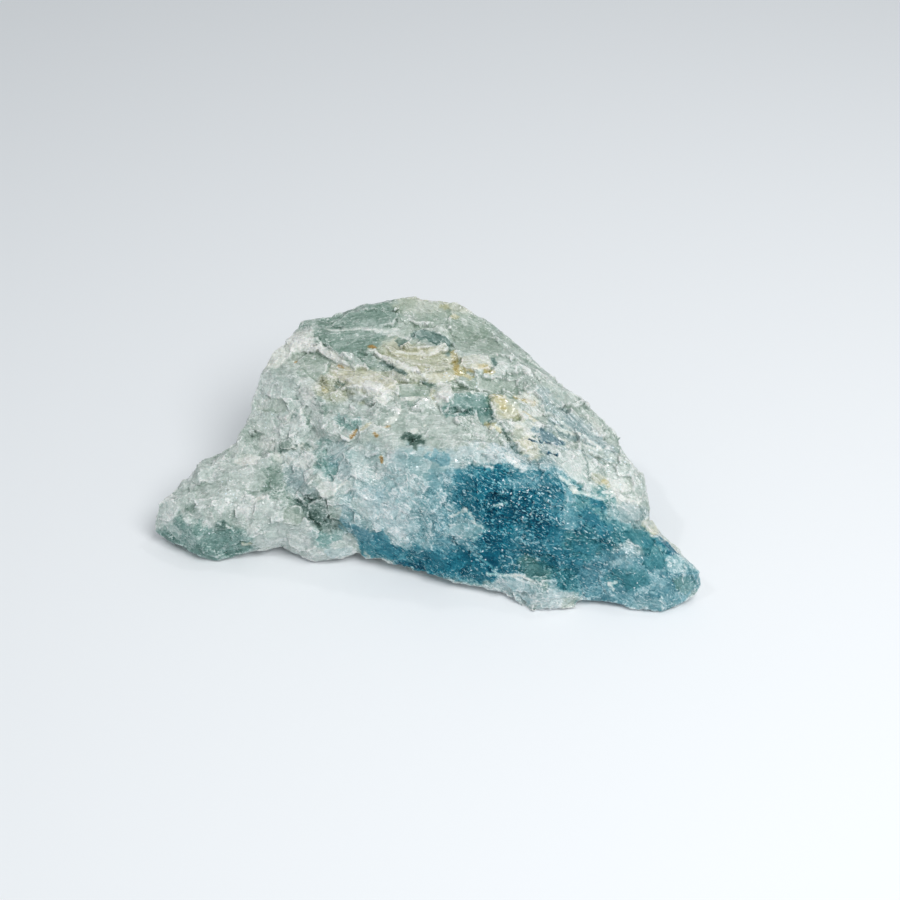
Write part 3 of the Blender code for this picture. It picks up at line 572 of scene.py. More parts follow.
points += (TREMBLE * waves(points, 0.5, 2, 31))[:, None] * normals
write_skin(stone.data, points)
print(len(FACETS), "named faces cover", (plates >= first_facet).mean().round(3), "of the skin")

# %% [markdown]
# ## The colours
#
# The stone is painted on its points, with patches laid over each other from the broadest to the smallest,
# as a painter would. A patch is a stroke from one place to another with a width. Its edge is frayed by
# noise, because no colour in a stone has a clean edge. A painted texture image would hold more detail, but
# strokes in the stone's own millimetres stay readable and can be moved by hand.

# %% Strokes
PAINTS = {
    "pale": (186, 200, 193),
    "clear": (206, 218, 214),
    "grey_green": (164, 181, 169),
    "green": (138, 162, 152),
    "dark_green": (96, 124, 118),
    "olive": (146, 154, 136),
    "white": (240, 243, 237),
    "cream": (232, 229, 208),
    "sand": (208, 208, 184),
    "straw": (196, 198, 168),
    "ochre": (204, 190, 136),
    "rust": (186, 152, 98),
    "teal": (120, 162, 158),
    "sea": (60, 126, 136),
    "mist": (158, 192, 196),
    "haze": (160, 182, 184),
    "veil": (192, 213, 216),
    "sky": (96, 150, 164),
    "blue": (42, 114, 133),
    "deep": (8, 91, 114),
    "night": (4, 80, 104),
    "pit": (66, 92, 84),
    "moss": (112, 136, 130),
    "jade": (112, 148, 142),
    "bottle": (62, 110, 112),
    "slate": (66, 104, 124),
    "ink": (16, 56, 78),
}


def linear(level):
    """A screen colour level from 0 to 255, as light."""
    share = level / 255
    return share / 12.92 if share <= 0.04045 else ((share + 0.055) / 1.055) ** 2.4


paints = {name: np.log([max(linear(level), 0.001) for level in levels]) for name, levels in PAINTS.items()}

# paint, start, end, half width, strength
GROUNDS = {
    "back, clear band": ("clear", (-14, 16.6, 10), (8, 17.4, 11), 3.0, 0.6),
    "back, low grey green": ("grey_green", (-10, 18.4, 4), (2, 19.4, 4), 3.4, 0.6),
    "back, cream near the crown": ("cream", (-6, 16, 14), (4, 16.6, 14.6), 1.8, 0.6),
    "back, straw stain": ("straw", (4, 17, 13), (7, 16, 11), 1.3, 0.6),
    "back, teal window": ("teal", (-4, 19.6, 8), (2, 20.4, 7), 1.8, 0.7),
    "back, haze on the right": ("haze", (8, 16, 8), (17, 9, 7), 3.2, 0.7),
    "back, haze low on the right": ("haze", (12, 12, 1.4), (25, -1, 1), 1.8, 0.7),
    "back, sky by the right arm": ("sky", (20, 6, 5), (26, -4, 4), 2.8, 0.7),
    "back, blue by the right arm": ("blue", (24, 0, 4), (27, -6, 3.6), 1.8, 0.45),
    "back, white vein": ("white", (-12, 17.6, 9), (-2, 19.6, 10.4), 0.8, 0.6),
    "back, white vein on the right": ("white", (6, 17.6, 12), (14, 12, 9), 0.7, 0.6),
    "back, clear left": ("clear", (-18, 12.6, 8), (-22, 6, 5), 3.0, 0.6),
    "back of the left arm": ("jade", (-25, 1, 3), (-30, -4, 3), 2.0, 0.6),
    "back, white grains on the left": ("white", (-17, 13, 12), (-20, 9, 9), 1.2, 0.5),
    "rear slab": ("green", (-13, 14, 18), (-5, 13, 19.5), 3.2, 0.8),
    "second slab": ("green", (-13, 10, 17.5), (-6, 9, 18), 2.0, 0.9),
    "clear left rim": ("white", (-20, 11, 15), (-16, 11, 17), 2.4, 0.85),
    "left facet": ("grey_green", (-15, 9, 15), (-12.5, 7, 15.5), 2.2, 0.8),
    "pale lobe at the crown": ("sand", (-2, 15, 20.5), (5, 14, 20.5), 2.0, 0.5),
    "grey behind the fins": ("grey_green", (-2, 11, 19), (6, 11, 19.5), 2.4, 0.8),
    "upper right slab": ("grey_green", (3.5, 9, 18.6), (11, 8, 18.4), 2.2, 0.7),
    "notch under the crown": ("dark_green", (-1, 10, 19), (3, 9, 18.7), 0.9, 0.85),
    "layered cream": ("sand", (-4, 7.4, 18.2), (3, 4, 18.5), 2.2, 0.7),
    "cream ground": ("sand", (-11, 4, 15.5), (2, 1, 17.5), 2.6, 0.55),
    "grey band": ("grey_green", (3, 1, 17.3), (11, 0.6, 17.3), 1.6, 0.8),
    "smooth face": ("pale", (-3, -4, 15.6), (8, -5.2, 15.7), 3.0, 0.6),
    "teal hollow": ("jade", (3.5, -2, 17.3), (8.3, -1.8, 16.5), 1.3, 0.95),
    "left grains": ("clear", (-20, 5.5, 12), (-15, 0, 13.4), 3.6, 0.8),
    "left face": ("clear", (-14, -3, 12.5), (-9, -2, 14), 3.4, 0.6),
    "teal in the left face": ("teal", (-12.4, -4, 12), (-9.4, -6, 12.4), 1.5, 0.4),
    "teal lower left": ("teal", (-12.2, -6, 11.6), (-9.8, -7.2, 11.4), 1.3, 0.7),
    "sea spot left": ("sea", (-11, -6.6, 11.7), (-10.6, -6.6, 11.7), 0.8, 0.45),
    "teal upper left": ("teal", (-10, -1.4, 14.2), (-8.2, -2.9, 14.6), 0.9, 0.5),
    "left arm": ("clear", (-30, -7.6, 6.6), (-17, -6.5, 8.8), 5.0, 0.5),
    "left tip": ("clear", (-33, -6.4, 5.5), (-32, -9, 2.6), 2.0, 0.7),
    "green under the arm": ("jade", (-31, -10, 2), (-23, -11.6, 2.6), 2.6, 0.9),
    "green lump on the arm": ("green", (-18.8, -6, 8.6), (-16.6, -8.4, 7.8), 1.7, 0.7),
    "bluish by the crease": ("haze", (-16, -5, 9.9), (-14, -9, 8.7), 1.7, 0.5),
    "foot": ("clear", (-17, -11.4, 4), (-9.4, -12.3, 2), 3.4, 0.75),
    "teal in the foot": ("teal", (-12.8, -12.1, 4.4), (-11, -12.4, 4.2), 1.0, 0.6),
    # the crease: partly the stone's own moss green, partly painted shade
    "crease": ("moss", (-13.9, -9.8, 7.7), (-9.4, -11.5, 5), 1.5, 0.75),
    # painted shade deep in the crease
    "painted shade in the crease": ("dark_green", (-13.2, -10.2, 6.8), (-12, -10.8, 6.2), 0.8, 0.3),
    "pale blue slope": ("veil", (-8, -9, 11.6), (2, -11.6, 12.4), 4.0, 0.6),
    "pale blue front": ("mist", (-6, -11.6, 8), (4, -14, 8), 4.0, 0.7),
    "sky ground upper": ("sky", (4, -13.2, 11.8), (15.6, -11.6, 13), 3.6, 0.75),
    "sky ground lower": ("sky", (2.2, -14.6, 5.6), (21.2, -17, 6.2), 4.4, 0.8),
    "sky ground right": ("sea", (18.2, -13, 11.4), (22.6, -15, 8.4), 3.4, 0.75),
    "sky tail": ("sky", (-9, -11.6, 5.6), (-5.4, -13.2, 4.8), 1.2, 0.8),
    "blue tail": ("blue", (-6.8, -12.6, 3.2), (-3, -13.2, 3.2), 1.5, 0.72),
    "blue low band": ("blue", (-2.4, -13.6, 2.8), (6.8, -16.2, 3.2), 1.9, 0.66),
    "blue heart ground": ("blue", (6, -13, 12.2), (15, -13.4, 11.8), 2.9, 0.95),
    "blue under the heart": ("blue", (8.6, -14.2, 8.6), (16, -15.6, 8.4), 3.2, 0.9),
    "blue belt": ("blue", (3, -15, 3.4), (17.6, -17.4, 5.8), 2.2, 0.85),
    "blue right of the belt": ("blue", (17.2, -16.4, 7.2), (20.4, -16.6, 6.8), 2.0, 0.6),
    "heart, left lobe": ("deep", (7.8, -12.4, 13.6), (8.4, -13.4, 9.6), 1.6, 0.95),
    "heart, middle": ("deep", (9.6, -13, 10.8), (12.4, -13.8, 11.2), 1.9, 0.95),
    "heart, right lobe": ("deep", (13.6, -14.4, 10.6), (14, -15.2, 9.2), 1.5, 0.95),
    "heart, upper tip": ("deep", (9.2, -11.2, 14.4), (9.4, -12.2, 13.6), 0.8, 0.8),
    "heart, lower neck": ("deep", (9.4, -14.4, 8.2), (8.2, -16, 4.4), 1.6, 0.95),
    "deep low left": ("deep", (2.2, -14.8, 2.6), (5.6, -15.6, 4.2), 1.1, 0.85),
    "deep low far left": ("deep", (-2.4, -13.8, 2), (-0.2, -14.4, 1.8), 0.8, 0.85),
    "deep below the heart": ("sea", (13.4, -17.2, 5.2), (14.8, -18, 5), 1.1, 0.8),
    "deep right": ("sea", (17.8, -16.2, 7.6), (19.8, -16.6, 6.6), 1.4, 0.9),
    "deep low right": ("sea", (16.2, -18.4, 4.8), (18.4, -18.2, 2.8), 1.1, 0.85),
    "deep spot far right": ("blue", (21, -12.2, 10.6), (21.8, -12.6, 10.2), 0.8, 0.8),
    "deep spot right": ("blue", (19.6, -14.2, 10), (20.8, -14.6, 9.6), 0.9, 0.8),
    "deep spot lower right": ("blue", (21.6, -15.2, 8.8), (22, -15.4, 8.4), 0.8, 0.85),
    "light band over the heart": ("sky", (10.2, -12.2, 13.2), (14, -11.8, 13.2), 0.9, 0.7),
    "pale band right of the heart": ("mist", (17.2, -11.6, 11.8), (17.2, -15.2, 9), 1.0, 0.75),
    "veil patch": ("mist", (3.6, -14, 7.4), (6.4, -14.4, 8.2), 1.3, 0.7),
    "pale patch on the arm": ("haze", (22.6, -17.4, 5.4), (24.6, -16.4, 6.4), 1.3, 0.9),
    "arm ground": ("sky", (21.8, -18.2, 2.8), (30.2, -19.4, 3.4), 3.6, 0.85),
    "sea in the arm": ("sea", (23.4, -18.2, 3.6), (25.2, -18.6, 4.2), 1.3, 0.7),
    "sea on the arm's top": ("sea", (26.2, -14, 6.4), (28, -17, 5.4), 1.4, 0.65),
    "blue on the arm's side": ("blue", (26.8, -14.4, 6.4), (27, -15.2, 6.2), 0.7, 0.8),
    "blue on the arm's end": ("blue", (28.8, -14.8, 6), (29.6, -16, 5.6), 0.9, 0.85),
    "pale end of the arm": ("mist", (29.8, -17.2, 5.2), (31.2, -17.4, 4.8), 0.9, 0.7),
    "pale foot of the arm": ("mist", (25.6, -19.6, 0.6), (28.4, -19.8, 1.6), 1.0, 0.6),
    "pale slope by the heart": ("mist", (-1.6, -9.8, 13.4), (1, -12.4, 10.8), 3.0, 0.6),
    "pale slope above the belt": ("mist", (-3, -12.6, 7.4), (-0.2, -13.6, 6.8), 2.2, 0.7),
    "nodule": ("veil", (10.2, -18, 1.6), (15.6, -19.8, 1.8), 1.9, 0.8),
    "nodule crest": ("veil", (9.4, -17.6, 2.6), (13, -19, 3.4), 0.9, 0.85),
    "foot's right end": ("clear", (-10.2, -12.2, 4.2), (-8.8, -11.8, 1.8), 1.3, 0.8),
    "blue shade of the foot": ("mist", (-8, -11.6, 6.8), (-9.8, -11.2, 7.8), 1.2, 0.5),
    "green under the heart": ("green", (12.4, -17.4, 5), (14.2, -18.8, 4.2), 1.3, 0.6),
    "pale patch by the notch": ("haze", (23.7, -12.9, 9.6), (26.7, -12.2, 7.6), 1.6, 0.75),
    "flank ground": ("pale", (12, 5.5, 18), (23, -5, 12.6), 4.6, 0.7),
    "flank blue upper": ("haze", (15, 0.4, 16.4), (19, -2.8, 14.4), 1.2, 0.7),
    "flank blue lower": ("haze", (16.6, -3, 15), (22.6, -4.8, 13), 1.4, 0.7),
    "blue grey above the heart": ("haze", (9.8, -8.8, 15.3), (16, -8.3, 14), 1.6, 0.8),
    "dark blue in the flank": ("slate", (13.6, -4.8, 15.3), (16.6, -5.6, 14.3), 0.6, 0.55),
    "dark behind the nodule": ("sea", (16.4, -18.4, 4.6), (17.2, -19.2, 3.2), 0.7, 0.8),
    "cream patch on the brow": ("clear", (16.4, -7.6, 13.8), (19.8, -10, 12), 1.9, 0.85),
    "cream patch on the flank": ("clear", (21, -6.2, 11.8), (26, -10, 9.6), 2.0, 0.6),
    "olive patch": ("straw", (9, -1.2, 17), (10.8, -3.4, 17), 1.3, 0.85),
    "cream lower patch": ("cream", (11.6, -5.6, 15.8), (13.4, -8, 15), 1.0, 0.7),
}
MARKS = {
    "pit": ("pit", (-1.4, -6, 15), (-0.3, -6.7, 14.7), 0.8, 0.95),
    "green spot on the arm": ("dark_green", (-24.8, -10.6, 5.2), (-24.4, -10.6, 5.2), 0.5, 0.6),
    "second green spot": ("green", (-28.4, -8.4, 6), (-28, -8.4, 6), 0.6, 0.6),
    "ochre left of the block": ("ochre", (3.8, 6.8, 18.4), (4.3, 3.2, 18.4), 0.35, 0.8),
    "ochre right of the block": ("ochre", (7.5, 3.8, 18.5), (8.5, 2.7, 18.6), 0.5, 0.8),
    "ochre at the foot of the block": ("ochre", (4.4, 3.2, 18.4), (5.8, 2.6, 18.4), 0.4, 0.6),
    "ochre by the tooth": ("ochre", (1.2, 0.5, 17.8), (1.2, -0.7, 17.4), 0.3, 0.85),
    "ochre vein": ("ochre", (11.4, -0.4, 17.2), (13.6, -0.4, 16), 0.28, 0.8),
    "ochre vein, lower": ("ochre", (12.2, -2.6, 16), (13.6, -3.8, 15.4), 0.3, 0.8),
    "ochre vein, left": ("ochre", (7.8, -4.4, 16), (9.2, -5.6, 16.1), 0.35, 0.6),
    "olive stain": ("ochre", (9.2, -0.6, 17), (9.8, -2.2, 17), 0.6, 0.55),
    "white above the heart": ("veil", (4, -9.3, 15.2), (10.6, -9.2, 15), 1.1, 0.75),
    "white cloud": ("veil", (-5.6, -11.4, 9.8), (-2, -13, 7.6), 1.8, 0.75),
    "rust at the fin": ("rust", (-6.5, 8.4, 18.4), (-6.1, 8.4, 18), 0.34, 0.85),
    "rust by the block": ("rust", (-10.5, 6.7, 16.4), (-9.8, 6.2, 16.6), 0.2, 0.75),
    "rust, lower left": ("rust", (-8.6, -4, 13.6), (-8, -3.4, 14), 0.26, 0.85),
    "rust, lower middle": ("rust", (-5.8, -5, 15), (-5.4, -5.2, 14.8), 0.24, 0.75),
    "rust, upper middle": ("rust", (-4.4, -4.2, 15.2), (-4, -4.2, 15.4), 0.2, 0.6),
    "rust, lowest": ("rust", (-5, -7.4, 13.4), (-4.8, -8, 13), 0.2, 0.75),
    "rust dot": ("rust", (-16.2, 9.1, 15.1), (-16.1, 9.1, 15.1), 0.25, 0.9),
    "ochre at the crown": ("ochre", (3.8, 12.4, 20.2), (4.1, 12.2, 20.2), 0.45, 0.5),
    "ochre at the lobe": ("ochre", (2.4, 14.2, 20.8), (2.8, 14, 20.8), 0.45, 0.3),
    "ochre by the cream block": ("ochre", (-12.6, 5.6, 15), (-12.1, 3.4, 15), 0.45, 0.35),
    "ledge behind the second slab": ("white", (-12.5, 12.3, 18.4), (-8, 11.5, 18.7), 0.18, 0.7),
    "ledge behind the second slab, right": ("white", (-8, 11.5, 18.7), (-4.5, 10.8, 18.8), 0.18, 0.6),
    "bright rim of the grey slab": ("white", (-2.5, -0.9, 17.1), (1, -0.8, 17.3), 0.2, 0.9),
    "crack over the tooth": ("pit", (0, 1.9, 17.4), (1.4, 0.5, 18), 0.18, 0.8),
    "crack behind the fins": ("olive", (0.9, 2.5, 18.7), (3.2, 3.5, 18.5), 0.2, 0.8),
    "crack in the white stripe": ("pit", (9.6, -5.7, 16.2), (10.4, -6.4, 15.6), 0.18, 0.5),
    "crack in the white stripe, lower": ("pit", (10.4, -6.4, 15.6), (10.9, -7.5, 15.1), 0.18, 0.45),
    "dark flank crack": ("ink", (13, -6.5, 15.6), (14.6, -6.2, 15), 0.18, 0.8),
    "dark flank crack, right": ("ink", (14.6, -6.1, 15), (16.2, -6.2, 14.3), 0.2, 0.8),
    "small flank crack": ("ink", (15.1, -7.9, 14.4), (16.2, -7.8, 13.8), 0.18, 0.8),
    "crack above the foot": ("pit", (-13.8, -10.3, 6.7), (-12.3, -11.3, 5.5), 0.18, 0.5),
    # painted shade dots in the crease
    "painted shade dots in the crease": ("pit", (-12.9, -10.2, 7), (-12.3, -10.6, 6.3), 0.35, 0.4),
    "crack in the crease": ("pit", (-10.2, -11.3, 6.2), (-9.1, -11.5, 5), 0.2, 0.4),
    "rim of the teal window": ("white", (8.5, -1.1, 16.8), (8.6, -3.4, 17), 0.18, 0.8),
    "rim of the lower window": ("white", (8.6, -3.4, 17), (9.2, -4.6, 17), 0.18, 0.7),
    "veil rim, top": ("white", (3.6, -13.2, 9), (5.5, -13.4, 10.3), 0.18, 0.8),
    "veil rim, corner": ("white", (5.5, -13.4, 10.3), (6.4, -13.9, 9.2), 0.18, 0.8),
    "veil rim, right": ("white", (6.4, -13.9, 9.2), (7.7, -14.4, 7.8), 0.18, 0.7),
    "veil rim, bottom": ("white", (7.7, -14.4, 7.8), (6.3, -15, 6.9), 0.18, 0.7),
    "thread in the heart": ("veil", (7.3, -13.3, 10.4), (9, -13.1, 10.8), 0.18, 0.8),
    "thread in the heart, end": ("white", (9, -13.1, 10.7), (10, -13, 11.1), 0.22, 0.8),
    "band over the heart": ("white", (9.9, -9.6, 15), (11.9, -10.7, 14.5), 0.3, 0.75),
    "band over the heart, right": ("veil", (11.9, -10.7, 14.5), (14.7, -10, 14.1), 0.4, 0.7),
    "rim under the brow": ("white", (16.6, -11, 13.3), (18.4, -11.8, 11.9), 0.25, 0.85),
    "rim under the brow, middle": ("white", (18.4, -11.8, 11.9), (21.7, -11.8, 10.6), 0.22, 0.8),
    "rim under the brow, right": ("white", (21.7, -11.1, 10.8), (26.3, -10.9, 9.2), 0.2, 0.8),
    "line along the arm": ("veil", (27.7, -18.5, 5.1), (32.1, -17.7, 4.1), 0.18, 0.35),
    "crest of the nodule": ("white", (8, -16.7, 3.1), (11.7, -18.5, 4), 0.18, 0.85),
    "crest of the nodule, right": ("white", (11.7, -18.5, 4), (14.8, -19, 3.4), 0.18, 0.7),
    "edge in the low front": ("veil", (6.3, -15.5, 5.3), (9, -17, 3.7), 0.18, 0.75),
    "triangle, top": ("white", (22.4, -18.3, 2.8), (23.3, -18.4, 3.1), 0.18, 0.8),
    "triangle, side": ("white", (22.4, -18.3, 2.8), (23, -18.7, 2.1), 0.18, 0.8),
    "streak over the dark crack": ("white", (12.3, -5.8, 15.7), (14.8, -6.3, 14.9), 0.2, 0.85),
    "streak in the dark flank": ("white", (16.3, -3.5, 14.9), (22.1, -5.1, 12.9), 0.18, 0.8),
    "lower streak in the dark flank": ("white", (16.7, -5, 14.3), (21.7, -5.2, 12.6), 0.18, 0.7),
    "upper streak in the flank": ("white", (15.4, -1.7, 15.7), (19.2, -4.4, 14.1), 0.18, 0.6),
    "third streak in the flank": ("veil", (16.7, -6.5, 14), (23.4, -6.2, 11.5), 0.18, 0.6),
    "green line in the brow": ("moss", (19.4, -6, 13.2), (20.2, -9.2, 12.2), 0.2, 0.6),
    "white edge in the left face": ("white", (-10.4, -9.6, 9.8), (-9, -9, 10.9), 0.18, 0.7),
    "white edge of the smooth face": ("white", (-3.6, -3.9, 15), (-2.7, -2.5, 16.5), 0.3, 0.7),
    "white dot behind the pit": ("white", (-1.1, -5.2, 15.6), (-0.6, -5.2, 15.7), 0.35, 0.8),
    "white dot in the window": ("white", (6.1, -0.1, 17.1), (6.3, 0, 17), 0.18, 0.95),
    "white dot on the face": ("white", (0.3, -4.8, 16.1), (0.5, -4.7, 16.1), 0.18, 0.9),
    "white rim of the broken cream": ("white", (12.8, 1.2, 16.7), (14.4, -0.1, 16.3), 0.18, 0.6),
    "dark fleck on the right of the fins": ("dark_green", (3.1, 7.5, 18.6), (3.3, 6.5, 18.3), 0.35, 0.5),
    "dark fleck by the ochre block": ("dark_green", (8.6, 5.3, 18.4), (9, 4.3, 18.7), 0.35, 0.85),
    "olive fleck by the ochre block": ("olive", (4.1, 6.2, 18.4), (4.4, 4.5, 18.4), 0.4, 0.3),
    "green pocket left of the block": ("olive", (-12.7, 5.4, 14.9), (-12.1, 3.2, 15), 0.5, 0.7),
    "rust on the grains": ("ochre", (-12.4, 4, 15), (-12.1, 3.3, 15.1), 0.35, 0.45),
    "ochre on the brow": ("ochre", (21.9, -9.5, 11.2), (22.4, -10.2, 10.8), 0.4, 0.55),
    "ochre thread in the left face": ("ochre", (-7.4, -3.9, 14.8), (-6.3, -3.3, 15.1), 0.25, 0.35),
    "blue pool in the slope": ("sky", (1.7, -9.1, 14.8), (2.3, -9.5, 14.8), 0.9, 0.6),
    "ledge face": ("white", (-16.4, 11, 16.8), (-13.4, 9.6, 17.2), 0.55, 0.8),
    "ledge face, right": ("white", (-13.4, 9.6, 17.2), (-9.8, 6.2, 17.2), 0.4, 0.85),
    "end of the cream block": ("white", (-7, 1.6, 17.2), (-4.8, 0, 17.2), 0.8, 0.85),
    "shade under the cream block": ("olive", (-11, 4.8, 15.4), (-8.4, 1.6, 15.8), 0.2, 0.8),
    "edge of the long fin": ("white", (-6.6, 8, 17.8), (-3.2, 4.6, 18.4), 0.24, 0.7),
    "edge of the long fin, right": ("white", (-3.2, 4.6, 18.4), (0.2, 2.4, 18.4), 0.26, 0.75),
    "shade under the fin": ("moss", (-5.4, 5.6, 18), (-2, 3, 18), 0.2, 0.8),
    "edge of the layers": ("white", (-3.2, 7, 18.2), (0.8, 6, 18.8), 0.2, 0.75),
    "edge of the layers, right": ("white", (0.8, 6, 18.8), (3, 8, 18.6), 0.22, 0.8),
    "crack before the layers": ("pit", (0.4, 1.8, 17.4), (2, 0.8, 17.8), 0.18, 0.8),
    "middle of the tooth": ("white", (2.2, 0.8, 17.8), (2.6, -1.8, 17.8), 0.9, 0.7),
    "middle of the grey slab": ("grey_green", (-2.2, 1, 17.4), (0.8, 0.2, 17.4), 1.2, 0.6),
    "broken whites, upper": ("white", (12.6, 1, 16), (13.2, -0.6, 16), 0.45, 0.7),
    "broken whites, middle": ("white", (11.8, -2.4, 16.4), (12.6, -3.2, 16.2), 0.4, 0.6),
    "broken whites, lower": ("white", (13.4, -3.4, 16.2), (14, -4.6, 15.6), 0.45, 0.7),
    # painted light: a soft pool of white on the brow
    "painted light on the brow": ("white", (17.2, -9.2, 13.2), (19.6, -10.2, 11.8), 0.9, 0.3),
    "painted light on the low brow": ("white", (22.8, -10.8, 11), (26, -10.6, 9.2), 0.7, 0.3),
    "white grains on the arm": ("white", (-22.4, -2.8, 8.8), (-21.4, -3.4, 9), 0.8, 0.7),
    "white diagonal, lower": ("white", (-18, -3.2, 10), (-14.6, -5.2, 10.4), 0.6, 0.6),
    # a painted highlight on the arm
    "painted highlight on the arm": ("white", (-20.4, -9, 7.6), (-19.4, -9, 8.2), 0.4, 0.8),
    # painted shade along the crease
    "painted shade line in the crease": ("pit", (-14.2, -10, 7.6), (-12.4, -11.4, 5.2), 0.18, 0.5),
    "white behind the rust": ("white", (-5.4, -4.2, 15.2), (-3.6, -3.4, 15.8), 0.4, 0.6),
    "dark lump on the left": ("moss", (-17.2, -2.6, 10.8), (-16.2, -2.4, 11.4), 0.8, 0.6),
    "dark lump on the left, second": ("moss", (-14.6, -3.4, 11.2), (-14.4, -2.4, 11), 0.4, 0.6),
    "shade by the lump": ("moss", (-16.2, 1, 12.6), (-15.8, 2, 13), 0.4, 0.4),
    "shade left of the slope": ("green", (-13, 2, 14.8), (-12.2, 0.4, 14), 0.5, 0.4),
}
# painted glints, white grains that stand in for glints of light: start, end, half width, share of the grains
# painted as glints
PAINTED_GLINTS = {
    "heart": ((7, -12.8, 12.6), (14.4, -14, 11.4), 3.4, 0.12),
    "heart core": ((10, -13, 12.4), (13.4, -13.6, 11.6), 2.2, 0.5),
    "below the heart": ((7, -14.8, 8), (15, -16, 7.4), 3.6, 0.08),
    "right of the heart": ((18, -15, 9), (23, -15.6, 7), 3.4, 0.1),
    "slope": ((-6, -11.4, 10), (5, -12, 11.6), 3.6, 0.06),
    "low front": ((-7, -12.4, 5), (8, -16, 3.4), 3.0, 0.03),
    "right arm": ((22, -17, 5), (32, -18, 3.6), 3.4, 0.06),
    "left arm": ((-27, -9.4, 5.2), (-18.6, -4.6, 9.4), 3.0, 0.22),
    "left shoulder": ((-20, 5, 12), (-16, -3, 10.6), 3.4, 0.18),
    "ledges": ((-12, 5.6, 16), (13, -1, 16.6), 3.6, 0.16),
    "flank": ((15, -1, 15.6), (25, -9.4, 10), 4.0, 0.2),
}
print(len(GROUNDS), "grounds and", len(MARKS), "marks in", len(PAINTS), "paints")

# %% Settle the size of the mesh
FACES = 190000
FRONT_WAY = unit((0, -0.77, 0.64))  # the way that the front and top face
TURNED_AWAY = -0.1  # a normal that reaches less far that way looks at the back or the underside
TURNED_COST = 2.0  # how much sooner the side turned away loses its points
INSIDE = 0.004  # mm that the stone keeps within the solid's box

fine_points = points.copy()
turned_away = read_skin(stone.data)[1] @ FRONT_WAY < TURNED_AWAY
away = stone.vertex_groups.new(name="turned_away")
away.add(np.flatnonzero(turned_away).tolist(), 1.0, "REPLACE")
thin = stone.modifiers.new("thin", "DECIMATE")
thin.vertex_group = away.name
thin.vertex_group_factor = TURNED_COST
thin.ratio = min(1.0, FACES / (2 * len(stone.data.vertices)))
thin.use_collapse_triangulate = True
stone = applied(stone, "aquamarine_stone")
mesh = stone.data
points, normals = read_skin(mesh)
write_skin(mesh, np.clip(points, np.array(solid_box[0]) / MM + INSIDE, np.array(solid_box[1]) / MM - INSIDE))
points, normals = read_skin(mesh)
print("the skin is now", len(mesh.polygons), "faces and", len(points), "points")
print("share on the back and underside:", (normals @ FRONT_WAY < TURNED_AWAY).mean().round(2))

# %% Give each face its plate and its chip
def store(name, kind, domain, values):
    layer = mesh.attributes.new(name, kind, domain)
    field = {"FLOAT": "value", "FLOAT_VECTOR": "vector", "FLOAT_COLOR": "color"}[kind]
    layer.data.foreach_set(field, np.ravel(values).astype(np.float32))


tree = kdtree.KDTree(len(fine_points))
for number, place in enumerate(fine_points):
    tree.insert(place, number)
tree.balance()


def sources_of(places):
    """For each place, the number of the nearest point of the fine skin."""
    return np.array([tree.find(place)[1] for place in places])


def plate_grain(turn):
    """For each plate, rows that measure mm along (drawn in), across and into its own grain."""
    rows = []
    for place in plate_seeds:
        _, way, length, width, *_ = zones[zone_numbers[place]]
        facing = normals_of_seeds[len(rows)]
        along = unit(np.array(way, float) - np.dot(way, facing) * facing)
        across = np.cross(facing, along)
        swing = seeds.normal(0, turn)
        along, across = (
            math.cos(swing) * along + math.sin(swing) * across,
            math.cos(swing) * across - math.sin(swing) * along,
        )
        rows.append([along * width / length, across, facing])
    return np.array(rows)


GRAIN_TURN = 0.12  # radians
GRAIN_SHIFT = 40.0  # mm

normals_of_seeds = [unit(normal) for normal in fine_normals[plate_seeds]]
sources = sources_of([face.center / MM for face in mesh.polygons])
corner_points = np.empty(len(mesh.loops), np.int32)
mesh.loops.foreach_get("vertex_index", corner_points)
corner_plates = np.repeat(plates[sources], 3)
grain = np.einsum("nij,nj->ni", plate_grain(GRAIN_TURN)[corner_plates], points[corner_points])
grain += seeds.uniform(0, GRAIN_SHIFT, (len(plate_seeds), 3))[corner_plates]
store("grain", "FLOAT_VECTOR", "CORNER", grain)
plate_tone = seeds.uniform(0, 1, len(plate_seeds))
plate_tone[first_facet:] = 0.5
chip_tone = np.append(seeds.uniform(0, 1, CHIP_COUNT), 0.5)
store("flake", "FLOAT", "FACE", 0.55 * plate_tone[plates[sources]] + 0.45 * chip_tone[chips[sources]])
store("grit", "FLOAT", "FACE", np.array(grits)[plates[sources]])
print(len(sources), "faces know their plate")

# %% Paint the points
FRAY = 0.75  # mm that noise pushes the edge of a broad stroke
MARK_SINK = 0.9  # share of the depth between a mark and the skin that doesn't count
MARK_DEPTH = 0.8  # the most depth that doesn't count, mm
FACET_STRENGTH = 0.85
FACET_FADE = 0.5  # share of that strength lost from the front edge of a face to its back
FACET_CLOUD = 0.2  # share of that strength that comes and goes inside the face


def skin_gap(places, start, end):
    """Distance to a line as seen along the skin: how far it runs above or below the skin hardly counts."""
    along = end - start
    share = np.clip((places - start) @ along / (along @ along), 0, 1)
    away = places - start - share[:, None] * along
    deep = (away * normals).sum(axis=1)
    away -= np.clip(MARK_SINK * deep, -MARK_DEPTH, MARK_DEPTH)[:, None] * normals
    return np.linalg.norm(away, axis=1)


def brush(colour, rough, fine, strokes, measure=line_gap):
    """Lays the strokes over the colour, with frayed edges."""
    for name, start, end, width, strength in strokes.values():
        fray = min(FRAY, 0.7 * width)
        gap = measure(points + fray * (rough + 0.8 * fine), np.array(start, float), np.array(end, float))
        cover = strength * (1 - eased(gap, 0.72 * width, 1.28 * width))
        colour += cover[:, None] * (paints[name] - colour)


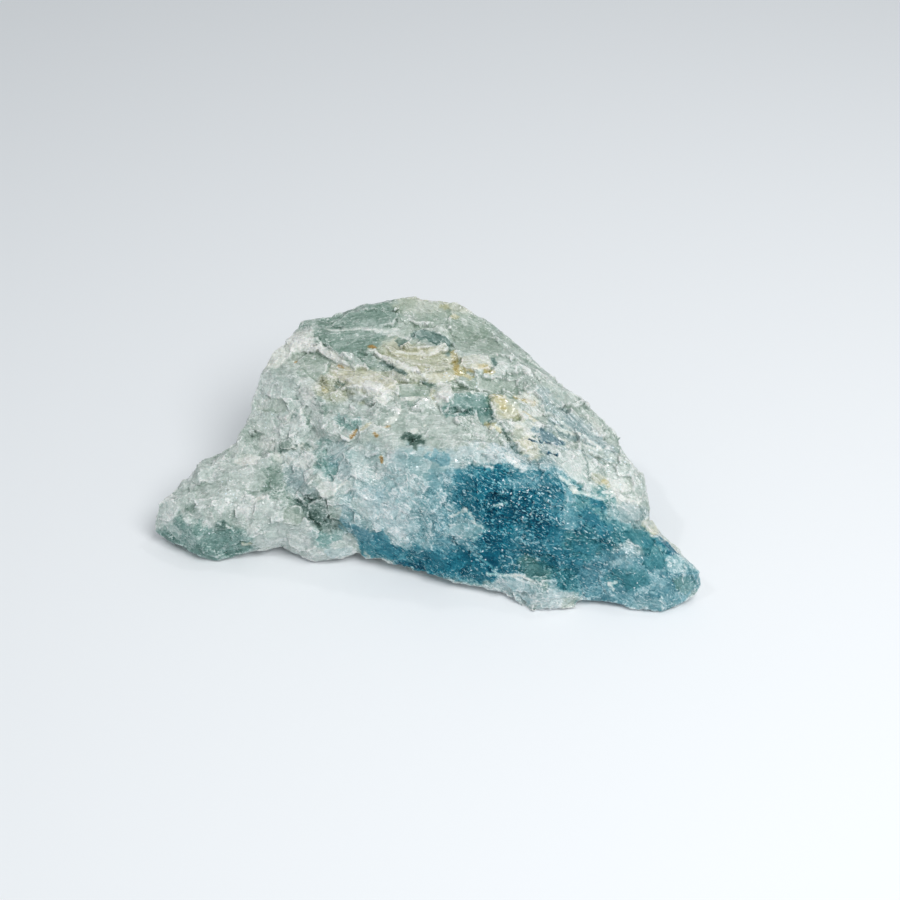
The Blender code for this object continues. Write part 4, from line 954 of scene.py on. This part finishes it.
def paint():
    rough = np.column_stack([waves(points, 2.2, 3, shift) for shift in (0, 7, 14)])
    fine = np.column_stack([waves(points, 0.7, 2, shift) for shift in (3, 11, 23)])
    colour = np.tile(paints["pale"], (len(points), 1))
    brush(colour, rough, fine, GROUNDS)
    own = plates[sources_of(points)]
    cloud = 1 - FACET_CLOUD + FACET_CLOUD * np.clip(1.5 * fine[:, 0] + rough[:, 0], -1, 1)
    for number, facet in enumerate(FACETS.values()):
        inside = np.flatnonzero(own == first_facet + number)
        back = points[inside, 1] - points[inside, 1].min() if len(inside) else np.zeros(0)
        fade = 1 - FACET_FADE * back / (np.max(back, initial=0) + 1e-9)
        cover = FACET_STRENGTH * fade * cloud[inside]
        colour[inside] += cover[:, None] * (paints[facet[0]] - colour[inside])
    brush(colour, rough, fine, MARKS, skin_gap)
    return np.exp(colour)


def painted_glint_share():
    """The share of the grains painted white as glints at each point."""
    share = np.zeros(len(points))
    for start, end, width, strength in PAINTED_GLINTS.values():
        gap = line_gap(points, np.array(start, float), np.array(end, float))
        share += strength * (1 - eased(gap, 0.3 * width, 1.2 * width))
    return share


def hollows(points, rounds):
    """How far each point lies under the level of its surroundings, in mm; ridges are below 0."""
    level = relaxed(points, edges, rounds)
    return ((level - points) * normals).sum(axis=1)


edges = read_edges(mesh)
thin_hollow = hollows(points, 2)
small_hollow = hollows(points, 6)
broad_hollow = hollows(points, 40)
store("paint", "FLOAT_COLOR", "POINT", np.column_stack([paint(), np.ones(len(points))]))
# the painted glint share: where white grains stand in for glints of light
store("painted_glint_share", "FLOAT", "POINT", painted_glint_share())
# painted shade: slits and hollows get a deeper, darker colour, and rims and ridges get a paler one
store("rim", "FLOAT", "POINT", eased(-thin_hollow, 0.012, 0.04))
store("slit_shade", "FLOAT", "POINT", eased(thin_hollow, 0.012, 0.04))
store("ridge", "FLOAT", "POINT", eased(-small_hollow, 0.03, 0.12))
store("hollow_shade", "FLOAT", "POINT", eased(small_hollow + broad_hollow, 0.05, 0.4))
print("ridges to", (-small_hollow.min()).round(2), "mm, hollows to", broad_hollow.max().round(2), "mm")

# %% [markdown]
# ## The finish of the stone
#
# Light goes a little way into cloudy beryl, scatters, and comes out close by, so the shadows inside its
# cracks are filled and the stone looks lit from inside. That is subsurface scattering over a few
# millimetres. The longer the way of the light through the stone, the deeper its colour, as if the pale
# colour were laid over itself. So the light and dark of the stone are made by raising its own colour to a
# power: over 1 is deep clear stone, and near 0 is crushed and white. Mixing in white or black paint
# would turn it chalky or dirty.

# %% A few helpers for nodes
def node(tree, kind, inputs=None, **settings):
    made = tree.nodes.new(kind)
    for key, value in settings.items():
        setattr(made, key, value)
    for key, value in (inputs or {}).items():
        if isinstance(value, bpy.types.NodeSocket):
            tree.links.new(value, made.inputs[key])
        else:
            made.inputs[key].default_value = value
    return made


def new_group(name, inputs, outputs):
    tree = bpy.data.node_groups.new(name, "ShaderNodeTree")
    for title, kind in inputs:
        tree.interface.new_socket(title, in_out="INPUT", socket_type=kind)
    for title, kind in outputs:
        tree.interface.new_socket(title, in_out="OUTPUT", socket_type=kind)
    return tree, tree.nodes.new("NodeGroupInput").outputs, tree.nodes.new("NodeGroupOutput").inputs


def maths(tree, operation, first, second=0.5):
    return node(tree, "ShaderNodeMath", {0: first, 1: second}, operation=operation).outputs[0]


def times(tree, first, second):
    return maths(tree, "MULTIPLY", first, second)


def total(tree, first, *others):
    for other in others:
        first = maths(tree, "ADD", first, other)
    return first


def ramp(tree, value, low, high, to_low=0.0, to_high=1.0):
    limits = {"Value": value, "From Min": low, "From Max": high, "To Min": to_low, "To Max": to_high}
    return node(tree, "ShaderNodeMapRange", limits, interpolation_type="SMOOTHSTEP").outputs[0]


def vector_maths(tree, operation, first, second):
    return node(tree, "ShaderNodeVectorMath", {0: first, 1: second}, operation=operation).outputs


def stretched(tree, vector, scale):
    return vector_maths(tree, "MULTIPLY", vector, scale)["Vector"]


def speckle(tree, vector, scale, detail=2.0, roughness=0.5):
    settings = {"Vector": stretched(tree, vector, scale), "Scale": 1.0}
    settings |= {"Detail": detail, "Roughness": roughness}
    return node(tree, "ShaderNodeTexNoise", settings).outputs[0]


def cells(tree, vector, scale, feature="F1"):
    settings = {"Vector": stretched(tree, vector, scale), "Scale": 1.0}
    return node(tree, "ShaderNodeTexVoronoi", settings, feature=feature).outputs


def first_of(tree, colour):
    return node(tree, "ShaderNodeSeparateColor", {0: colour}).outputs[0]


def mixed(tree, share, first, second, blend="MIX"):
    made = node(tree, "ShaderNodeMix", data_type="RGBA", blend_type=blend)
    for socket, value in zip((made.inputs[0], made.inputs[6], made.inputs[7]), (share, first, second)):
        if isinstance(value, bpy.types.NodeSocket):
            tree.links.new(value, socket)
        else:
            socket.default_value = value
    return made.outputs[2]


def ragged(tree, vector, scale, push):
    """The vector pushed about by noise, which frays what is drawn with it."""
    settings = {"Vector": stretched(tree, vector, scale), "Scale": 1.0, "Detail": 3.0, "Roughness": 0.6}
    colour = node(tree, "ShaderNodeTexNoise", settings).outputs["Color"]
    away = vector_maths(tree, "SUBTRACT", colour, (0.5,) * 3)["Vector"]
    return vector_maths(tree, "ADD", vector, stretched(tree, away, (push,) * 3))["Vector"]


# %% Node group: how deep the light goes
VECTOR, FLOAT, COLOUR = "NodeSocketVector", "NodeSocketFloat", "NodeSocketColor"

depths, depth_in, depth_out = new_group(
    "depth_of_stone",
    [("Place", VECTOR), ("Grain", VECTOR), ("Flake", FLOAT), ("Grit", FLOAT)]
    + [("Rim", FLOAT), ("Slit_shade", FLOAT), ("Ridge", FLOAT), ("Hollow_shade", FLOAT)],
    [("Depth", FLOAT), ("Crush", FLOAT), ("Height", FLOAT)],
)
place, grain_place, grit = depth_in["Place"], depth_in["Grain"], depth_in["Grit"]
bent = ragged(depths, place, (1.6,) * 3, 0.5)
frayed = ragged(depths, grain_place, (1.6,) * 3, 0.5)
swirled = ragged(depths, grain_place, (0.7,) * 3, 1.1)


def pools(vector, scale, tone, line, width):
    """Clear pools of two tones, and the white crack between them. The crack comes and goes."""
    noise_value = speckle(depths, vector, (scale,) * 3, 3.0, 0.55)
    level = ramp(depths, noise_value, 0.49, 0.53, -tone, tone)
    off = maths(depths, "ABSOLUTE", maths(depths, "SUBTRACT", noise_value, 0.5))
    crack = ramp(depths, off, 0.0, width, 1.0, 0.0)
    kept = ramp(depths, speckle(depths, place, (0.8 * scale,) * 3, 1.0), 0.45, 0.6)
    return total(depths, level, times(depths, times(depths, crack, kept), -line))


clouds = ramp(depths, speckle(depths, place, (0.25,) * 3, 2.0, 0.5), 0.35, 0.65, -0.12, 0.12)
flake_tone = ramp(depths, depth_in["Flake"], 0, 1, -0.28, 0.28)
broad_pools = pools(bent, 0.45, 0.12, 0.5, 0.016)
small_pools = pools(frayed, 1.2, 0.08, 0.5, 0.032)
tiny_pools = times(depths, pools(bent, 3.0, 0.16, 0.3, 0.06), total(depths, grit, 0.12))
busy = times(depths, grit, ramp(depths, speckle(depths, bent, (0.5,) * 3, 2.0, 0.6), 0.44, 0.6, 0.12, 1.15))
specks = ramp(depths, speckle(depths, swirled, (2.4, 4.6, 4.6), 3.0, 0.7), 0.4, 0.6, -0.34, 0.34)
specks = times(depths, specks, total(depths, times(depths, busy, busy), 0.12))
streak = ramp(depths, speckle(depths, grain_place, (0.7, 5.0, 5.0), 3.0, 0.6), 0.43, 0.57, -0.2, 0.2)
streak = times(depths, streak, total(depths, times(depths, busy, 0.7), 0.25))
fibres = ramp(depths, speckle(depths, swirled, (1.4, 5.0, 5.0), 3.0, 0.65), 0.59, 0.62, 0.0, -0.85)
fibres = times(depths, fibres, total(depths, busy, 0.25))
depth = total(depths, clouds, flake_tone, broad_pools, small_pools, tiny_pools, specks, streak, fibres)
depth = total(depths, depth, 1.0, times(depths, grit, 0.2))
# painted shade: deeper, darker colour in hollows and slits; paler colour on ridges and rims
depth = total(depths, depth, times(depths, depth_in["Ridge"], -0.4), times(depths, depth_in["Hollow_shade"], 0.3))
depth = total(depths, depth, times(depths, depth_in["Rim"], -0.36), times(depths, depth_in["Slit_shade"], 0.35))
depths.links.new(node(depths, "ShaderNodeClamp", {0: depth, 1: 0.25, 2: 1.9}).outputs[0], depth_out["Depth"])
crumbs = speckle(depths, frayed, (2.4, 4.6, 4.6), 4.0, 0.65)
crush = total(depths, crumbs, times(depths, grit, 0.09), times(depths, depth_in["Rim"], 0.1))
depths.links.new(ramp(depths, crush, 0.665, 0.69), depth_out["Crush"])
height = total(depths, times(depths, crumbs, 0.14), times(depths, streak, 0.1))
height = total(depths, height, times(depths, small_pools, 0.06))
depths.links.new(times(depths, height, MM), depth_out["Height"])

# %% Node group: the stone's colour
tones, tone_in, tone_out = new_group(
    "stone_tones",
    [("Place", VECTOR), ("Grain", VECTOR), ("Paint", COLOUR)]
    + [("Depth", FLOAT), ("Crush", FLOAT), ("Painted_glint_share", FLOAT)],
    [("Colour", COLOUR), ("Roughness", FLOAT), ("Coat", FLOAT)],
)
swing = ramp(tones, first_of(tones, tone_in["Paint"]), 0.0, 0.25, 0.5, 1.0)
held = total(tones, times(tones, maths(tones, "SUBTRACT", tone_in["Depth"], 1.0), swing), 1.0)
tone = node(tones, "ShaderNodeGamma", {"Color": tone_in["Paint"], "Gamma": held}).outputs[0]
crushed = node(tones, "ShaderNodeGamma", {"Color": tone_in["Paint"], "Gamma": 0.2}).outputs[0]


def painted_glint_spots(vector, scale, size, share):
    """Small grains, 1 where one is painted white as a glint of light. The painted glint share, times a share,
    is how many of them are.
    """
    found = cells(tones, vector, scale)
    lot = total(tones, first_of(tones, found["Color"]), times(tones, tone_in["Painted_glint_share"], share))
    spot = ramp(tones, found["Distance"], 0.6 * size, size, 1.0, 0.0)
    return times(tones, spot, ramp(tones, lot, 1.0, 1.02))


# Painted glints: white dashes and bluish white dots in the colour stand in for glints of light off small
# facets
crooked = ragged(tones, tone_in["Place"], (4.0,) * 3, 0.3)
glint_cluster = ramp(tones, speckle(tones, tone_in["Place"], (0.7,) * 3, 2.0, 0.6), 0.45, 0.58, 0.05, 1.5)
wavy = ragged(tones, tone_in["Grain"], (0.8,) * 3, 0.7)
glint_dashes = painted_glint_spots(wavy, (2.0, 4.4, 4.4), 0.44, times(tones, glint_cluster, 0.7))
fine_glint_dots = painted_glint_spots(crooked, (3.0,) * 3, 0.4, times(tones, glint_cluster, 0.5))
glint_dots = maths(tones, "MAXIMUM", fine_glint_dots, painted_glint_spots(crooked, (1.5,) * 3, 0.25, times(tones, glint_cluster, 0.42)))
# whiter where the stone is crushed, which is its own colour, and at the painted glint dashes
crush_and_glints = maths(tones, "MAXIMUM", times(tones, tone_in["Crush"], 0.65), times(tones, glint_dashes, 0.95))
tone = mixed(tones, crush_and_glints, tone, crushed)
tone = mixed(tones, times(tones, glint_dots, 0.9), tone, (0.84, 0.95, 1.0, 1.0))
tones.links.new(tone, tone_out["Colour"])
lot = first_of(tones, cells(tones, tone_in["Place"], (2.4,) * 3)["Color"])
rough = ramp(tones, maths(tones, "POWER", lot, 1.5), 0, 1, 0.12, 0.42)
tones.links.new(total(tones, rough, times(tones, tone_in["Crush"], 0.2)), tone_out["Roughness"])
paleness = ramp(tones, first_of(tones, tone_in["Paint"]), 0.04, 0.45, 0.02, 0.8)
tones.links.new(times(tones, paleness, ramp(tones, lot, 0.3, 0.9, 1.0, 0.2)), tone_out["Coat"])

# %% Node group: the smallest facets
facets, facet_in, facet_out = new_group("tiny_facets", [("Place", VECTOR)], [("Height", FLOAT)])


def tilted_cells(scale, height):
    """Height, in mm, of flat cells that each lean their own way."""
    place = stretched(facets, facet_in["Place"], (scale,) * 3)
    found = node(facets, "ShaderNodeTexVoronoi", {"Vector": place, "Scale": 1.0}, feature="F1").outputs
    inward = vector_maths(facets, "SUBTRACT", place, found["Position"])["Vector"]
    lean = vector_maths(facets, "SUBTRACT", found["Color"], (0.5,) * 3)["Vector"]
    rise = vector_maths(facets, "DOT_PRODUCT", inward, lean)["Value"]
    return times(facets, rise, height / scale)


height = total(facets, tilted_cells(1.4, 0.5), tilted_cells(3.2, 0.75))
facets.links.new(times(facets, height, MM), facet_out["Height"])

# %% The material
finish = bpy.data.materials.new("cloudy_beryl")
finish.use_nodes = True
tree = finish.node_tree
tree.nodes.clear()
local = stretched(tree, node(tree, "ShaderNodeTexCoord").outputs["Object"], (1 / MM,) * 3)


def layer(name, output="Fac"):
    return node(tree, "ShaderNodeAttribute", attribute_name=name).outputs[output]


def grouped(group, inputs):
    made = node(tree, "ShaderNodeGroup", node_tree=group)
    for name, socket in inputs.items():
        tree.links.new(socket, made.inputs[name])
    return made.outputs


plain = {name: layer(name.lower()) for name in ("Flake", "Grit", "Rim", "Slit_shade", "Ridge", "Hollow_shade")}
inner = grouped(depths, {"Place": local, "Grain": layer("grain", "Vector"), **plain})
look = grouped(
    tones,
    {
        "Place": local,
        "Grain": layer("grain", "Vector"),
        "Paint": layer("paint", "Color"),
        "Depth": inner["Depth"],
        "Crush": inner["Crush"],
        "Painted_glint_share": layer("painted_glint_share"),
    },
)
relief = grouped(facets, {"Place": local})
facet_bump = node(tree, "ShaderNodeBump", {"Strength": 0.9, "Distance": 1.0, "Height": relief["Height"]})
grain_bump = node(
    tree,
    "ShaderNodeBump",
    {"Strength": 0.7, "Distance": 1.0, "Height": inner["Height"], "Normal": facet_bump.outputs["Normal"]},
)
beryl = node(
    tree,
    "ShaderNodeBsdfPrincipled",
    {
        "Base Color": look["Colour"],
        "Roughness": look["Roughness"],
        "Normal": grain_bump.outputs["Normal"],
        "IOR": 1.58,
        "Specular IOR Level": 0.08,
        "Coat Weight": look["Coat"],
        "Coat Roughness": 0.12,
        "Subsurface Weight": 0.18,
        "Subsurface Radius": (0.8, 1.0, 1.1),
        "Subsurface Scale": 0.5 * MM,
    },
)
surface = node(tree, "ShaderNodeOutputMaterial")
tree.links.new(beryl.outputs["BSDF"], surface.inputs["Surface"])
mesh.materials.clear()
mesh.materials.append(finish)

# %% Flat faces, sharp edges
EDGE_ANGLE = 28  # degrees of turn at which two faces no longer look like one


def sharpen(mesh, degrees):
    mesh.shade_smooth()
    turns = bmesh.new()
    turns.from_mesh(mesh)
    for edge in turns.edges:
        edge.smooth = edge.calc_face_angle(0) < math.radians(degrees)
    sharp = sum(not edge.smooth for edge in turns.edges)
    turns.to_mesh(mesh)
    turns.free()
    return sharp


print(sharpen(stone.data, EDGE_ANGLE), "sharp edges")
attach(stone, "root")
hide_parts(SOLID)

# %% [markdown]
# ## A pale table and soft light
#
# A milky stone needs large soft lights, because a small hard one would only show its gloss. The room is
# pale all round, and one big lamp on the right gives the facets a bright and a dim side. The table is
# matt and nearly white.

# %% Table
FLOOR_HALF = 0.6  # m

floor_mesh = bpy.data.meshes.new("table")
corners = [(-FLOOR_HALF, -FLOOR_HALF, 0), (FLOOR_HALF, -FLOOR_HALF, 0)]
corners += [(FLOOR_HALF, FLOOR_HALF, 0), (-FLOOR_HALF, FLOOR_HALF, 0)]
floor_mesh.from_pydata(corners, [], [(0, 1, 2, 3)])
floor = bpy.data.objects.new("table", floor_mesh)
bpy.context.scene.collection.objects.link(floor)
paper = bpy.data.materials.new("pale_paper")
paper.use_nodes = True
sheet = paper.node_tree.nodes["Principled BSDF"]
sheet.inputs["Base Color"].default_value = (0.84, 0.87, 0.90, 1)
sheet.inputs["Roughness"].default_value = 0.7
sheet.inputs["Specular IOR Level"].default_value = 0.2
floor_mesh.materials.append(paper)
floor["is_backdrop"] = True
print("a table", 2 * FLOOR_HALF, "m wide")

# %% Lights
def area_lamp(name, place, aim, width, power, tint):
    lamp = bpy.data.lights.new(name, "AREA")
    lamp.shape = "DISK"
    lamp.size = width
    lamp.energy = power
    lamp.color = tint
    made = bpy.data.objects.new(name, lamp)
    made.location = place
    made.rotation_euler = (Vector(aim) - Vector(place)).to_track_quat("-Z", "Y").to_euler()
    bpy.context.scene.collection.objects.link(made)
    return made


area_lamp("window", (0.11, -0.12, 0.25), (0.01, -0.01, 0), 0.2, 0.54, (1.0, 0.99, 0.98))
area_lamp("right glint", (0.12, 0.12, 0.28), (0, 0, 0), 0.02, 0.06, (1.0, 1.0, 1.0))
area_lamp("left glint", (-0.13, -0.08, 0.27), (0, 0, 0), 0.02, 0.07, (1.0, 1.0, 1.0))
room = bpy.data.worlds.new("room")
room.use_nodes = True
air = room.node_tree.nodes["Background"]
air.inputs["Color"].default_value = (0.94, 0.97, 0.99, 1)
air.inputs["Strength"].default_value = 0.45
bpy.context.scene.world = room
bpy.context.scene.view_settings.view_transform = "Standard"
bpy.context.scene.view_settings.look = "None"
print("lamps:", [lamp.name for lamp in bpy.data.lights])

# %% [markdown]
# ## The camera
#
# The camera looks down at forty degrees from the front, over the blue side. A lens of middle length keeps
# the near edge from swelling.

# %% Camera
TARGET = Vector((3.4, 9.8, 0)) * MM
ELEVATION = math.radians(40)
DISTANCE = 224 * MM
VIEW_ANGLE = math.radians(30)

eye = bpy.data.objects.new("eye", bpy.data.cameras.new("eye"))
eye.data.sensor_width = 36
eye.data.lens = 18 / math.tan(VIEW_ANGLE / 2)
eye.data.clip_start = 0.01
eye.location = TARGET + DISTANCE * Vector((0, -math.cos(ELEVATION), math.sin(ELEVATION)))
eye.rotation_euler = (TARGET - eye.location).to_track_quat("-Z", "Y").to_euler()
bpy.context.scene.collection.objects.link(eye)
bpy.context.scene.camera = eye
print("lens of", round(eye.data.lens, 1), "mm")

# %% The box before and after
boxes = {"solid": solid_box, "scene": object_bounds()}
boxes = {name: [list(corner) for corner in box] for name, box in boxes.items()}
print(boxes)
